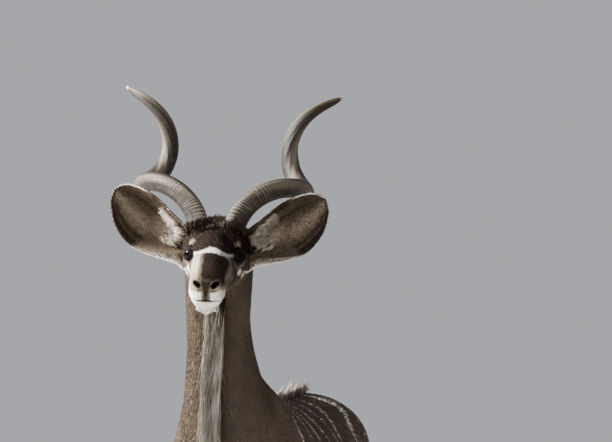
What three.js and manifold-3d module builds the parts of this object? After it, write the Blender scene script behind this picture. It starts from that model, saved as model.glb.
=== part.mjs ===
// A greater kudu bull at life size, standing with its head raised and both ears turned forward.
// Millimetres, +Z up. The animal faces -Y and its left side is +X. The origin is on the ground,
// under the middle of the whole animal.
//
// The animal is drawn in a straight, symmetric stance first. Head, neck and torso are one tube,
// given by the top and bottom lines of the profile. The head and upper neck are then turned a
// little to the left, with all that they carry.
import * as THREE from "three";
import { mergeVertices } from "three/addons/utils/BufferGeometryUtils.js";
import Module from "manifold-3d";

const wasm = await Module();
wasm.setup();

// Driving sizes
const GAP = 0.3; // clearance between neighbouring pieces
const FINEST = 0.02; // finer detail than this is dropped from a finished solid
const ORIGIN_SHIFT = [-22, 190, 0]; // brings the origin under the middle of the animal
const EYE_LEVEL = { y: -920, z: 1700 }; // the point midway between the eyes
const HEAD_PITCH = rad(22.1); // the nose points this far below the horizon
const HEAD_YAW = rad(6.6); // the head looks this far towards its left
const HEAD_ROLL = rad(3.1); // the head leans this far to its left
const TURN_START = { y: -540, z: 1200 }; // the turn grows from the foot of the neck
const TURN_END = { y: -760, z: 1565 }; // and is whole at the throat
const ROLL_PIVOT = { y: -815, z: 1690 };
const EYE_RADIUS = 21;
const EYE_AT = [63, 6, 0]; // left eye in the head frame: sideways, forward, up
const EYE_LOOKS = [0.7, -0.71, 0.03];
const LID_THICKNESS = 5;
const HORN_BASE = [54, -57, 68];
const HORN_LENGTH = 590; // along the axis of the spiral
const HORN_OUTWARDS = rad(8.1); // the axis leans outwards
const HORN_RISE = rad(24.8); // and rises from the line of the forehead
const SPIRAL_RADIUS = 64.6;
const SPIRAL_START = rad(-122.1);
const SPIRAL_TURNS = 1.211;
const SPIRAL_DEPTH = 1.22; // the spiral is this much deeper than wide
const TIP_SPREAD = 141; // the axis bends outwards by this much at the tip
const EAR_ROOT = [88, -78, -8];
const EAR_AXIS = [0.81, 0.1, 0.58];
const EAR_LENGTH = 254;
const EAR_EDGE = 2.2; // half the thickness of the shell at its edge
const EAR_HEEL = 26; // the back of the ear swells this far below its rim, near the root
const HOOF_TOP = 50; // height of the middle of the hoof's upper edge
const HOOF_SLOPE = 0.35; // that edge falls this much towards the heel
const TOE_GAP = 5;
const TOE_WIDTH = 30;

// Hair: how many locks, and how deep their roots sit in the body
const NAPE_LOCKS = 15;
const BACK_LOCKS = 15;
const THROAT_LOCKS = 17;
const CHEST_LOCKS = 5;
const TAIL_LOCKS = 9;
const LOCK_ROOT = 15;

function rad(degrees) {
  return (degrees * Math.PI) / 180;
}

function smooth(t) {
  const c = Math.min(1, Math.max(0, t));
  return c * c * (3 - 2 * c);
}

function vector(x, y, z) {
  return new THREE.Vector3(x, y, z);
}

// A repeatable random number from 0 to 1.
let seed = 7;
function random() {
  seed = (seed * 48271) % 2147483647;
  return seed / 2147483647;
}

// A factor close to 1, for things that grow unevenly.
function varied() {
  return 0.87 + 0.26 * random();
}

// Solids

function solidFromGeometry(geometry) {
  const bare = geometry.clone();
  bare.deleteAttribute("normal");
  bare.deleteAttribute("uv");
  const merged = mergeVertices(bare, 1e-4);
  const triVerts = new Uint32Array(merged.index.array);
  const vertProperties = new Float32Array(merged.attributes.position.array);
  const made = new wasm.Manifold(new wasm.Mesh({ numProp: 3, vertProperties, triVerts }));
  if (made.volume() >= 0) return made;
  for (let i = 0; i < triVerts.length; i += 3) {
    [triVerts[i + 1], triVerts[i + 2]] = [triVerts[i + 2], triVerts[i + 1]];
  }
  return new wasm.Manifold(new wasm.Mesh({ numProp: 3, vertProperties, triVerts }));
}

// A closed skin over a row of rings that hold the same number of points.
function loft(rings) {
  const sides = rings[0].length;
  const points = rings.flat();
  const index = [];
  for (let i = 0; i + 1 < rings.length; i += 1) {
    for (let j = 0; j < sides; j += 1) {
      const a = i * sides + j;
      const b = i * sides + ((j + 1) % sides);
      index.push(a, b, b + sides, a, b + sides, a + sides);
    }
  }
  const last = rings.length - 1;
  for (const end of [0, last]) {
    const middle = rings[end].reduce((sum, p) => sum.add(p), vector(0, 0, 0));
    const centre = points.push(middle.divideScalar(sides)) - 1;
    for (let j = 0; j < sides; j += 1) {
      const a = end * sides + j;
      const b = end * sides + ((j + 1) % sides);
      index.push(...(end === 0 ? [centre, b, a] : [centre, a, b]));
    }
  }
  return solidFromGeometry(new THREE.BufferGeometry().setFromPoints(points).setIndex(index));
}

function union(solids) {
  return solids.reduce((whole, next) => whole.add(next));
}

function largest(solid) {
  return solid.decompose().reduce((best, next) => (next.volume() > best.volume() ? next : best));
}

// Everything on one side of a plane: a big box that stands on it.
function halfSpace(point, direction, size = 3000) {
  const up = vector(...direction).normalize();
  const box = new THREE.BoxGeometry(size, size, size).translate(0, 0, size / 2);
  box.applyQuaternion(new THREE.Quaternion().setFromUnitVectors(vector(0, 0, 1), up));
  return solidFromGeometry(box.translate(...point));
}

function ball(radius, at, segments) {
  const made = new THREE.SphereGeometry(radius, segments, Math.round(segments * 0.7));
  return solidFromGeometry(made.translate(at.x, at.y, at.z));
}

function mirrored(rings, side) {
  return rings.map((ring) => ring.map((p) => vector(side * p.x, p.y, p.z)));
}

// Smooth curves through stations

// A cubic curve through values at rising knots, with slopes taken from the neighbours.
function curveThrough(knots, values) {
  const last = knots.length - 1;
  const slope = values.map((_, i) => {
    const a = Math.max(0, i - 1);
    const b = Math.min(last, i + 1);
    return (values[b] - values[a]) / (knots[b] - knots[a]);
  });
  return (t) => {
    let i = 0;
    while (i < last - 1 && t > knots[i + 1]) i += 1;
    const h = knots[i + 1] - knots[i];
    const x = (t - knots[i]) / h;
    const x2 = x * x;
    const x3 = x2 * x;
    return (
      values[i] * (2 * x3 - 3 * x2 + 1) +
      slope[i] * h * (x3 - 2 * x2 + x) +
      values[i + 1] * (3 * x2 - 2 * x3) +
      slope[i + 1] * h * (x3 - x2)
    );
  };
}

// A function that gives every field of a row of stations at a station number between them.
function between(stations, knots = stations.map((_, i) => i)) {
  const curves = Object.keys(stations[0]).map((key) => [
    key,
    curveThrough(knots, stations.map((s) => s[key])),
  ]);
  return (t) => Object.fromEntries(curves.map(([key, curve]) => [key, curve(t)]));
}

// A point of a rounded box: n is 2 for an ellipse and more for a squarer one.
function roundedBox(angle, n) {
  const c = Math.cos(angle);
  const s = Math.sin(angle);
  return [Math.sign(c) * Math.abs(c) ** (2 / n), Math.sign(s) * Math.abs(s) ** (2 / n)];
}

// The body tube

const FORWARD = vector(0, -Math.cos(HEAD_PITCH), -Math.sin(HEAD_PITCH));
const UPWARD = vector(0, -Math.sin(HEAD_PITCH), Math.cos(HEAD_PITCH));

// The head frame is measured from midway between the eyes: sideways, forward and up.
function headPoint(sideways, forward, up) {
  return vector(sideways, EYE_LEVEL.y, EYE_LEVEL.z)
    .addScaledVector(FORWARD, forward)
    .addScaledVector(UPWARD, up);
}

// A slice of the body: its top and bottom point in the profile, its half width, how high up it is
// widest (0 to 1), and how square it is above and below that height.
function slice(topY, topZ, bottomY, bottomZ, half, widest, squareTop, squareBottom) {
  return { topY, topZ, bottomY, bottomZ, half, widest, squareTop, squareBottom };
}

function headSlice(topForward, topUp, bottomForward, bottomUp, ...shape) {
  const top = headPoint(0, topForward, topUp);
  const bottom = headPoint(0, bottomForward, bottomUp);
  return slice(top.y, top.z, bottom.y, bottom.z, ...shape);
}

const BODY = [
  headSlice(261, 8, 259, -6, 9, 0.5, 2, 2), // nose
  headSlice(257, 24, 253, -30, 27, 0.5, 2.1, 2.1),
  headSlice(248, 36, 244, -58, 41, 0.52, 2.3, 2.2),
  headSlice(232, 43, 228, -76, 47, 0.55, 2.4, 2.2), // chin
  headSlice(205, 46, 203, -78, 48, 0.56, 2.4, 2.1),
  headSlice(170, 48, 169, -75, 47, 0.56, 2.4, 2),
  headSlice(130, 52, 130, -83, 50, 0.56, 2.3, 1.9),
  headSlice(90, 56, 90, -98, 60, 0.58, 2.3, 1.9),
  headSlice(50, 60, 46, -112, 73, 0.61, 2.4, 1.8),
  headSlice(14, 65, 4, -124, 81, 0.64, 2.7, 1.8), // eyes
  headSlice(-22, 70, -34, -131, 84, 0.64, 3, 1.8),
  headSlice(-58, 73, -66, -133, 83, 0.62, 3.1, 1.8), // horns, angle of the jaw
  headSlice(-94, 69, -90, -128, 83, 0.57, 2.6, 1.9),
  slice(-822, 1797, -776, 1605, 92, 0.5, 2.1, 2), // poll and throat
  slice(-767, 1786, -769, 1588, 97, 0.48, 2, 2),
  slice(-712, 1756, -762, 1563, 98, 0.46, 2, 2),
  slice(-656, 1706, -754, 1530, 96, 0.45, 2, 2),
  slice(-600, 1646, -744, 1486, 94, 0.45, 2, 2),
  slice(-545, 1582, -734, 1432, 94, 0.45, 2, 2),
  slice(-490, 1515, -724, 1370, 97, 0.45, 1.9, 2),
  slice(-442, 1451, -715, 1300, 104, 0.45, 1.9, 2),
  slice(-402, 1398, -708, 1222, 115, 0.45, 1.9, 2),
  slice(-368, 1370, -696, 1138, 136, 0.46, 1.9, 2), // withers
  slice(-334, 1361, -672, 1052, 154, 0.46, 1.8, 2.1),
  slice(-296, 1352, -624, 964, 168, 0.47, 1.8, 2.1),
  slice(-252, 1340, -542, 890, 178, 0.47, 1.8, 2.1),
  slice(-200, 1324, -432, 834, 186, 0.47, 1.8, 2.1),
  slice(-136, 1307, -302, 799, 195, 0.46, 1.8, 2.1),
  slice(-56, 1292, -140, 786, 203, 0.46, 1.8, 2.1),
  slice(42, 1283, 20, 790, 207, 0.46, 1.8, 2.1),
  slice(150, 1280, 172, 808, 206, 0.47, 1.8, 2.1),
  slice(258, 1284, 306, 838, 200, 0.49, 1.9, 2),
  slice(364, 1294, 422, 880, 192, 0.53, 2, 2),
  slice(462, 1300, 530, 924, 184, 0.56, 2.1, 2), // hips
  slice(550, 1293, 612, 974, 170, 0.56, 2.1, 2),
  slice(618, 1270, 664, 1034, 148, 0.56, 2.1, 2),
  slice(668, 1236, 697, 1092, 112, 0.55, 2, 2),
  slice(700, 1196, 711, 1136, 62, 0.5, 2, 2),
  slice(713, 1172, 715, 1158, 12, 0.5, 2, 2),
];
const NECK_FROM = 12.7; // station numbers where head, neck and torso meet
const TORSO_FROM = 21.6;
const BODY_END = BODY.length - 1;
const bodyAt = between(BODY);

// Swellings and hollows of the surface: a centre, a size along each axis, and a push.
const FORMS = [
  [headPoint(74, 8, 26), [24, 34, 20], [9, -3, 5]], // brow over the eye
  [headPoint(74, 56, 4), [34, 34, 28], [-16, 0, 0]], // hollow in front of the eye
  [headPoint(84, -18, -34), [50, 44, 24], [8, 0, 0]], // cheekbone
  [headPoint(74, -28, -72), [60, 54, 46], [14, 0, 0]], // cheek muscle
  [headPoint(40, 238, 14), [17, 20, 17], [5, -5, 1]], // wing of the nostril
  [headPoint(44, 212, -26), [20, 34, 20], [4, 0, 0]], // upper lip
  [headPoint(0, 262, -20), [7, 20, 14], [0, 5, 0]], // groove under the nose
  [headPoint(0, 228, -84), [24, 24, 16], [0, -4, -3]], // chin
  [headPoint(52, -48, 76), [36, 40, 26], [3, 0, 9]], // root of the horn
  [headPoint(0, -104, 76), [40, 34, 26], [0, 4, 9]], // crown between the horns
  [headPoint(88, -86, -8), [34, 34, 42], [16, 5, 0]], // root of the ear
  [vector(172, -470, 1020), [70, 100, 120], [18, -8, 0]], // shoulder muscle
  [vector(150, -600, 1040), [60, 60, 80], [16, -14, 0]], // point of the shoulder
  [vector(140, -390, 1240), [60, 70, 100], [12, 0, 0]], // shoulder blade
  [vector(180, -250, 1110), [70, 60, 150], [-12, 0, 0]], // hollow behind the shoulder
  [vector(200, -60, 1010), [80, 150, 130], [7, 0, 0]], // ribs
  [vector(190, 530, 1070), [80, 130, 130], [18, 0, 0]], // thigh
  [vector(150, 405, 1255), [60, 50, 40], [12, 0, 8]], // point of the hip
  [vector(60, 660, 1200), [50, 60, 40], [8, 10, 0]], // point of the seat
  [vector(190, 310, 1190), [70, 80, 70], [-18, 0, 0]], // hollow of the flank
  [vector(200, 350, 950), [70, 70, 90], [-14, 0, 0]], // fold in front of the thigh
];

function formed(p) {
  const moved = p.clone();
  for (const [at, size, push] of FORMS) {
    for (const side of at.x === 0 ? [1] : [1, -1]) {
      const far =
        ((p.x - side * at.x) / size[0]) ** 2 +
        ((p.y - at.y) / size[1]) ** 2 +
        ((p.z - at.z) / size[2]) ** 2;
      moved.add(vector(side * push[0], push[1], push[2]).multiplyScalar(Math.exp(-far)));
    }
  }
  return moved;
}

function bodyRing(station, sides, grow = 0) {
  const at = bodyAt(station);
  const top = vector(0, at.topY, at.topZ);
  const bottom = vector(0, at.bottomY, at.bottomZ);
  const middle = bottom.clone().lerp(top, at.widest);
  const up = top.clone().sub(bottom).normalize();
  const above = top.distanceTo(middle) + grow;
  const below = bottom.distanceTo(middle) + grow;
  return Array.from({ length: sides }, (_, i) => {
    const angle = (2 * Math.PI * (i + 0.5)) / sides;
    const [c, s] = roundedBox(angle, Math.sin(angle) > 0 ? at.squareTop : at.squareBottom);
    const p = middle.clone().addScaledVector(up, s * (s > 0 ? above : below));
    p.x = c * (at.half + grow);
    return formed(p);
  });
}

// The direction across a slice, towards the nose.
function aheadAt(station) {
  const { topY, topZ, bottomY, bottomZ } = bodyAt(station);
  return vector(0, bottomZ - topZ, topY - bottomY).normalize();
}

// A length of the tube, which may be grown all round, and then reaches farther back as well.
function bodyTube(from, to, steps, sides, grow = 0) {
  const rings = Array.from({ length: steps + 1 }, (_, i) =>
    bodyRing(from + ((to - from) * i) / steps, sides, grow),
  );
  const back = aheadAt(to).multiplyScalar(-grow);
  if (grow > 0) rings.push(rings[steps].map((p) => p.clone().add(back)));
  return loft(rings);
}

// The turn of the head, which fades out down the neck.
function turned(p) {
  const alongY = TURN_END.y - TURN_START.y;
  const alongZ = TURN_END.z - TURN_START.z;
  const reach = (p.y - TURN_START.y) * alongY + (p.z - TURN_START.z) * alongZ;
  const share = smooth(reach / (alongY ** 2 + alongZ ** 2));
  const pivot = vector(0, ROLL_PIVOT.y, ROLL_PIVOT.z);
  const foot = vector(0, TURN_START.y, 0);
  return p
    .clone()
    .sub(pivot)
    .applyAxisAngle(FORWARD, -HEAD_ROLL * share)
    .add(pivot)
    .sub(foot)
    .applyAxisAngle(vector(0, 0, 1), HEAD_YAW * share)
    .add(foot);
}

// Legs

// A slice of a limb: its middle, half width sideways and half depth fore and aft.
function limbSlice(x, y, z, wide, deep) {
  return { x, y, z, wide, deep };
}

const FORELEG = [
  limbSlice(104, -450, 1010, 62, 120),
  limbSlice(112, -450, 930, 64, 110),
  limbSlice(118, -440, 865, 58, 94),
  limbSlice(118, -432, 800, 48, 72), // elbow
  limbSlice(113, -434, 720, 41, 55),
  limbSlice(109, -441, 640, 35, 45),
  limbSlice(106, -448, 560, 30, 37),
  limbSlice(104, -455, 492, 29, 34),
  limbSlice(103, -460, 442, 33, 38), // knee
  limbSlice(102, -457, 396, 28, 32),
  limbSlice(101, -451, 344, 21, 26),
  limbSlice(101, -449, 280, 18.5, 24),
  limbSlice(101, -448, 210, 19, 26),
  limbSlice(101, -446, 166, 25, 33), // fetlock
  limbSlice(101, -455, 128, 24, 30),
  limbSlice(101, -472, 96, 22, 27),
  limbSlice(101, -488, 62, 27, 35),
  limbSlice(101, -496, 30, 28, 37),
];
const HINDLEG = [
  limbSlice(88, 490, 1200, 50, 105),
  limbSlice(106, 508, 1090, 78, 150),
  limbSlice(118, 512, 1000, 84, 158),
  limbSlice(124, 512, 920, 77, 146),
  limbSlice(124, 512, 850, 67, 122),
  limbSlice(119, 520, 780, 55, 95), // stifle
  limbSlice(114, 540, 710, 43, 70),
  limbSlice(109, 568, 640, 33, 51),
  limbSlice(106, 596, 575, 26, 41),
  limbSlice(104, 616, 515, 27, 44), // hock
  limbSlice(103, 612, 460, 30, 42),
  limbSlice(102, 602, 408, 26, 33),
  limbSlice(101, 594, 340, 21, 28),
  limbSlice(101, 588, 260, 20, 26),
  limbSlice(101, 585, 205, 21, 28),
  limbSlice(101, 584, 164, 26, 34), // fetlock
  limbSlice(101, 574, 126, 25, 31),
  limbSlice(101, 559, 95, 23, 28),
  limbSlice(101, 544, 62, 27, 35),
  limbSlice(101, 537, 30, 28, 37),
];
const LIMB_SIDES = 10;
const STRIDE_TOP = 950; // the legs swing from this height

// How far each foot stands behind its place, in a quiet, open stance, and the plane and the strip
// along the midline that part the leg from the torso.
const LEGS = [
  { name: "foreleg", stations: FORELEG, strides: [-34, 26], strip: 46, at: [0, -440, 890], slope: 0.52 },
  { name: "hindleg", stations: HINDLEG, strides: [44, -40], strip: 30, at: [0, 520, 950], slope: -0.62 },
];
const SIDES = [
  ["left", 1],
  ["right", -1],
];

function strided(p, stride) {
  return vector(p.x, p.y + stride * smooth((STRIDE_TOP - p.z) / STRIDE_TOP), p.z);
}

function limbSolid(stations, side, stride) {
  const at = between(stations);
  const last = stations.length - 1;
  const count = Math.round(last * 1.25);
  const rings = Array.from({ length: count + 1 }, (_, i) => {
    const { x, y, z, wide, deep } = at((last * i) / count);
    return Array.from({ length: LIMB_SIDES }, (__, j) => {
      const [c, s] = roundedBox((2 * Math.PI * (j + 0.5)) / LIMB_SIDES, 2.1);
      return strided(vector(x + c * wide, y + s * deep, z), stride);
    });
  });
  return loft(mirrored(rings, side));
}

function footOf(stations) {
  return stations[stations.length - 2];
}

// The space of the hooves, under the slanting upper edge of the hoof.
function hoofSpace(stations, stride, lower) {
  return halfSpace([0, footOf(stations).y + stride, HOOF_TOP - lower], [0, -HOOF_SLOPE, -1]);
}

// One toe: a flat-soled wedge, pointed in front.
function toeSolid(stations, side, toe, stride) {
  const foot = footOf(stations);
  const rings = [0, 12, 36, 72].map((z) => {
    const up = z / 72;
    const front = foot.y - 70 + 30 * up;
    const back = foot.y + 38 - 8 * up;
    const width = TOE_WIDTH * (1 - 0.1 * up) * (z === 0 ? 0.94 : 1);
    return Array.from({ length: 10 }, (_, j) => {
      const angle = (2 * Math.PI * (j + 0.5)) / 10;
      const [c, s] = roundedBox(angle, 2.6);
      const narrow = 1 - 0.45 * smooth(-s); // towards the tip
      const x = foot.x + toe * ((TOE_GAP + width) / 2 + (c * width * narrow) / 2);
      return vector(side * x, (front + back) / 2 + (s * (back - front)) / 2 + stride, z);
    });
  });
  return loft(rings).intersect(hoofSpace(stations, stride, GAP));
}

// The small hoof behind the fetlock, one on each side.
function dewclawSolid(stations, side, toe, stride) {
  const fetlock = stations[stations.length - 5];
  const rings = [0, 0.5, 1].map((s) =>
    Array.from({ length: 8 }, (_, j) => {
      const angle = (2 * Math.PI * j) / 8;
      const r = 11 * (1 - 0.4 * s);
      const x = fetlock.x + toe * (14 + 3 * s) + r * Math.cos(angle);
      const y = fetlock.y + fetlock.deep - 12 + 15 * s + 0.6 * r * Math.sin(angle);
      const z = fetlock.z - 18 - 20 * s + 0.8 * r * Math.sin(angle);
      return strided(vector(side * x, y, z), stride);
    }),
  );
  return loft(rings);
}

// What lies below a slanting plane and outside the strip along the midline.
function legZone({ at, slope, strip }, side, grow) {
  const down = vector(0, -slope, -1).normalize();
  const lifted = vector(...at).addScaledVector(down, -grow).toArray();
  const outside = halfSpace([side * (strip - grow), at[1], at[2]], [side, 0, 0]);
  return halfSpace(lifted, down.toArray()).intersect(outside);
}

// Horns

const HORN_THICKNESS = [
  { at: 0, radius: 31.5 },
  { at: 0.3, radius: 29.5 },
  { at: 0.6, radius: 28 },
  { at: 0.7, radius: 22.5 },
  { at: 0.8, radius: 17.5 },
  { at: 0.87, radius: 14 },
  { at: 0.93, radius: 10.5 },
  { at: 1, radius: 1.2 },
];
const hornThickness = between(HORN_THICKNESS, HORN_THICKNESS.map((s) => s.at));

// The middle line of the left horn in the head frame: a spiral round a straight axis that leans
// outwards, with a radius that swells in the middle and closes at the tip.
function hornPoint(t) {
  const cos = Math.cos(HORN_RISE);
  const axis = vector(
    cos * Math.sin(HORN_OUTWARDS),
    -cos * Math.cos(HORN_OUTWARDS),
    Math.sin(HORN_RISE),
  );
  const out = vector(Math.cos(HORN_OUTWARDS), Math.sin(HORN_OUTWARDS), 0);
  out.addScaledVector(axis, -out.dot(axis)).normalize();
  const back = axis.clone().cross(out);
  if (back.y > 0) back.negate();
  const spoke = (u) => {
    const phase = SPIRAL_START + SPIRAL_TURNS * 2 * Math.PI * u ** 1.307;
    const r = SPIRAL_RADIUS * (1 - u) ** 0.541 * (1 + 0.563 * Math.sin(Math.PI * u));
    return {
      shift: out
        .clone()
        .multiplyScalar(Math.cos(phase) * r)
        .addScaledVector(back, SPIRAL_DEPTH * Math.sin(phase) * r),
      away: out
        .clone()
        .multiplyScalar(Math.cos(phase))
        .addScaledVector(back, Math.sin(phase)),
    };
  };
  const here = spoke(t);
  const middle = vector(...HORN_BASE)
    .addScaledVector(axis, HORN_LENGTH * t)
    .add(here.shift)
    .sub(spoke(0).shift)
    .addScaledVector(out, TIP_SPREAD * t * t);
  return { middle, away: here.away };
}

// The horn's section is round with a blunt keel, which winds up the horn with the spiral.
function hornSolid(side) {
  const steps = 38;
  const sides = 10;
  const root = 30; // how far the horn reaches into the head, before it is cut to the head's surface
  const rings = Array.from({ length: steps + 1 }, (_, i) => {
    const t = Math.min(0.9995, (i / steps) ** 0.96);
    const { middle, away } = hornPoint(t);
    const next = hornPoint(Math.min(t + 0.01, 0.9999)).middle;
    const along = next.sub(hornPoint(Math.max(t - 0.01, 0)).middle).normalize();
    const keel = away.addScaledVector(along, -away.dot(along)).normalize();
    const across = along.clone().cross(keel);
    if (i === 0) middle.addScaledVector(along, -root);
    const { radius } = hornThickness(t);
    return Array.from({ length: sides }, (__, j) => {
      const angle = (2 * Math.PI * j) / sides;
      const r = radius * (0.95 + 0.16 * Math.max(0, Math.cos(angle)) ** 4);
      const p = middle
        .clone()
        .addScaledVector(keel, r * Math.cos(angle))
        .addScaledVector(across, r * Math.sin(angle));
      return headPoint(p.x, p.y, p.z);
    });
  });
  return loft(mirrored(rings, side));
}

// Ears

const EAR_SHAPE = [
  { at: 0, upper: 34, lower: 44, cup: 32 },
  { at: 0.12, upper: 40, lower: 58, cup: 46 },
  { at: 0.3, upper: 46, lower: 82, cup: 52 },
  { at: 0.48, upper: 53, lower: 98, cup: 48 },
  { at: 0.65, upper: 53, lower: 92, cup: 38 },
  { at: 0.8, upper: 46, lower: 74, cup: 26 },
  { at: 0.91, upper: 34, lower: 50, cup: 16 },
  { at: 0.97, upper: 20, lower: 30, cup: 9 },
  { at: 1, upper: 4, lower: 4, cup: 5 },
];
const earShape = between(EAR_SHAPE, EAR_SHAPE.map((s) => s.at));

// A point of the left ear's middle surface. Along runs from root to tip, across from the lower
// edge (-1) to the upper edge (1). The middle of the ear lies back, which makes the cup.
function earPoint(along, across) {
  const { upper, lower, cup } = earShape(Math.max(0, along));
  const axis = vector(...EAR_AXIS).normalize();
  const up = vector(-EAR_AXIS[2], -0.1, EAR_AXIS[0]);
  up.addScaledVector(axis, -up.dot(axis)).normalize();
  const back = axis.clone().cross(up);
  if (back.y < 0) back.negate();
  const nearRoot = 1 - smooth(along / 0.5);
  back.addScaledVector(up, -0.35 * nearRoot);
  return headPoint(...EAR_ROOT)
    .addScaledVector(axis, EAR_LENGTH * along)
    .addScaledVector(up, (across > 0 ? upper : lower) * across)
    .addScaledVector(back, cup * (1 - Math.abs(across) ** 2.2) - 18 * (1 - along));
}

function earSolid(side) {
  const steps = 13;
  const across = 10;
  const front = [];
  const back = [];
  const down = UPWARD.clone().multiplyScalar(-1);
  for (let i = 0; i <= steps; i += 1) {
    const along = -0.14 + 1.14 * (i / steps) ** 0.92;
    const frontRow = [];
    const backRow = [];
    for (let j = 0; j <= across; j += 1) {
      const v = -1 + (2 * j) / across;
      const p = earPoint(along, v);
      const alongEar = earPoint(Math.min(1, along + 0.01), v).sub(earPoint(along - 0.01, v));
      const acrossEar = earPoint(along, Math.min(1, v + 0.02));
      acrossEar.sub(earPoint(along, Math.max(-1, v - 0.02)));
      const normal = alongEar.cross(acrossEar).normalize();
      if (normal.y < 0) normal.negate();
      const root = 14 * (1 - smooth(along / 0.45)) * (1 - v * v);
      const heel = EAR_HEEL * (1 - smooth(along / 0.55)) * (1 - smooth(v + 1));
      frontRow.push(p.clone().addScaledVector(normal, -EAR_EDGE));
      backRow.push(p.clone().addScaledVector(normal, EAR_EDGE + root).addScaledVector(down, heel));
    }
    front.push(frontRow);
    back.push(backRow.reverse());
  }
  return loft(mirrored(front.map((row, i) => [...row, ...back[i]]), side));
}

// Tail

const TAIL = [
  limbSlice(0, 676, 1222, 26, 22),
  limbSlice(0, 716, 1206, 24, 18),
  limbSlice(0, 748, 1168, 21, 15),
  limbSlice(0, 762, 1110, 22, 14),
  limbSlice(0, 768, 1040, 23, 14),
  limbSlice(0, 770, 960, 22, 13),
  limbSlice(0, 769, 890, 15, 10),
  limbSlice(0, 767, 840, 6, 5),
];
const tailAt = between(TAIL);

function tailCore() {
  const last = TAIL.length - 1;
  const rings = Array.from({ length: 2 * last + 1 }, (_, i) => {
    const t = i / 2;
    const { y, z, wide, deep } = tailAt(t);
    const next = tailAt(Math.min(last, t + 0.05));
    const before = tailAt(Math.max(0, t - 0.05));
    const along = vector(0, next.y - before.y, next.z - before.z).normalize();
    return Array.from({ length: 10 }, (__, j) => {
      const angle = (2 * Math.PI * (j + 0.5)) / 10;
      const lift = Math.sin(angle) * deep;
      return vector(Math.cos(angle) * wide, y - along.z * lift, z + along.y * lift);
    });
  });
  return loft(rings);
}

// The upper or lower line of the body, from the nose to the tail: how far along it a station lies,
// and the point and the direction out of the body at each distance.
function profileLine(upper) {
  const parts = 8; // of each station
  const pick = ({ topY, topZ, bottomY, bottomZ }) =>
    upper ? vector(0, topY, topZ) : vector(0, bottomY, bottomZ);
  const points = Array.from({ length: parts * BODY_END + 1 }, (_, i) => pick(bodyAt(i / parts)));
  const reached = [0];
  for (let i = 1; i < points.length; i += 1) {
    reached.push(reached[i - 1] + points[i].distanceTo(points[i - 1]));
  }
  const distanceOf = (station) => reached[Math.round(station * parts)];
  const at = (distance) => {
    let i = 1;
    while (i < points.length - 1 && reached[i] < distance) i += 1;
    const along = points[i].clone().sub(points[i - 1]).normalize();
    const point = points[i - 1].clone().addScaledVector(along, distance - reached[i - 1]);
    const out = upper ? vector(0, -along.z, along.y) : vector(0, along.z, -along.y);
    return { point, out };
  };
  return { distanceOf, at };
}

const topLine = profileLine(true);
const bottomLine = profileLine(false);

// A flat, tapered lock of hair on a curve from its root to its tip. Its width lies along the broad
// direction and is greatest below its middle.
function lock({ root, middle, tip, width, thickness, broad }) {
  const control = middle.clone().multiplyScalar(2).addScaledVector(root, -0.5).addScaledVector(tip, -0.5);
  const curve = new THREE.QuadraticBezierCurve3(root, control, tip);
  const rings = [0, 0.35, 0.7, 0.97].map((s) => {
    const along = curve.getTangent(s);
    const across = broad.clone().addScaledVector(along, -broad.dot(along)).normalize();
    const out = along.clone().cross(across);
    const full = (1 - s * s) * (0.85 + 0.6 * s);
    const w = (width / 2) * full;
    const t = (thickness / 2) * full;
    const corners = [[w, 0], [0, t], [-w, 0], [0, -t]];
    return corners.map(([a, b]) => curve.getPoint(s).addScaledVector(across, a).addScaledVector(out, b));
  });
  return loft(rings);
}

// A row of locks along a line of the body, in two staggered columns. Each lock rises from the line
// and lies along it, over the roots of the next ones. Its outer edge leans to its own side, so that
// the locks pass beside each other.
function lockRow({ line, from, to, count, lengthAt, heightAt, width, thickness, spread }) {
  return Array.from({ length: count }, (_, i) => {
    const side = i % 2 ? 1 : -1;
    const share = (i + 0.5) / count;
    const start = line.distanceOf(from) + (line.distanceOf(to) - line.distanceOf(from)) * share;
    const length = lengthAt(share) * varied();
    const height = heightAt(share) * varied();
    const place = (along, up, aside) => {
      const { point, out } = line.at(start + along);
      return point.addScaledVector(out, up).add(vector(side * aside, 0, 0));
    };
    return lock({
      root: place(0, -LOCK_ROOT, spread),
      middle: place(0.5 * length, 0.6 * height, 1.2 * spread),
      tip: place(length, height, 1.6 * spread * varied()),
      width,
      thickness,
      broad: line.at(start).out.add(vector(side * 0.6, 0, 0)),
    });
  });
}

// The crest that stands along the nape.
function napeLocks() {
  return lockRow({
    line: topLine,
    from: NECK_FROM + 0.6,
    to: TORSO_FROM - 0.4,
    count: NAPE_LOCKS,
    lengthAt: () => 132,
    heightAt: (share) => (52 - 12 * share) * (0.3 + 0.7 * smooth(share / 0.3)),
    width: 50,
    thickness: 10,
    spread: 10,
  });
}

// The crest runs on, lower, over the withers and along the back.
function backLocks() {
  return lockRow({
    line: topLine,
    from: TORSO_FROM + 0.6,
    to: 33,
    count: BACK_LOCKS,
    lengthAt: (share) => 130 - 14 * share,
    heightAt: (share) => 30 - 10 * smooth(2 * share),
    width: 42,
    thickness: 12,
    spread: 6,
  });
}

// The fringe that hangs from the throat.
function throatLocks() {
  return lockRow({
    line: bottomLine,
    from: NECK_FROM + 0.4,
    to: TORSO_FROM - 0.5,
    count: THROAT_LOCKS,
    lengthAt: (share) => 140 + 34 * Math.sin(Math.PI * share),
    heightAt: (share) => 40 + 36 * Math.sin(Math.PI * share),
    width: 58,
    thickness: 10,
    spread: 11,
  });
}

// The fringe thins out on the chest.
function chestLocks() {
  return lockRow({
    line: bottomLine,
    from: TORSO_FROM + 0.7,
    to: 25,
    count: CHEST_LOCKS,
    lengthAt: () => 112,
    heightAt: (share) => 50 - 28 * share,
    width: 46,
    thickness: 12,
    spread: 8,
  });
}

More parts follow.
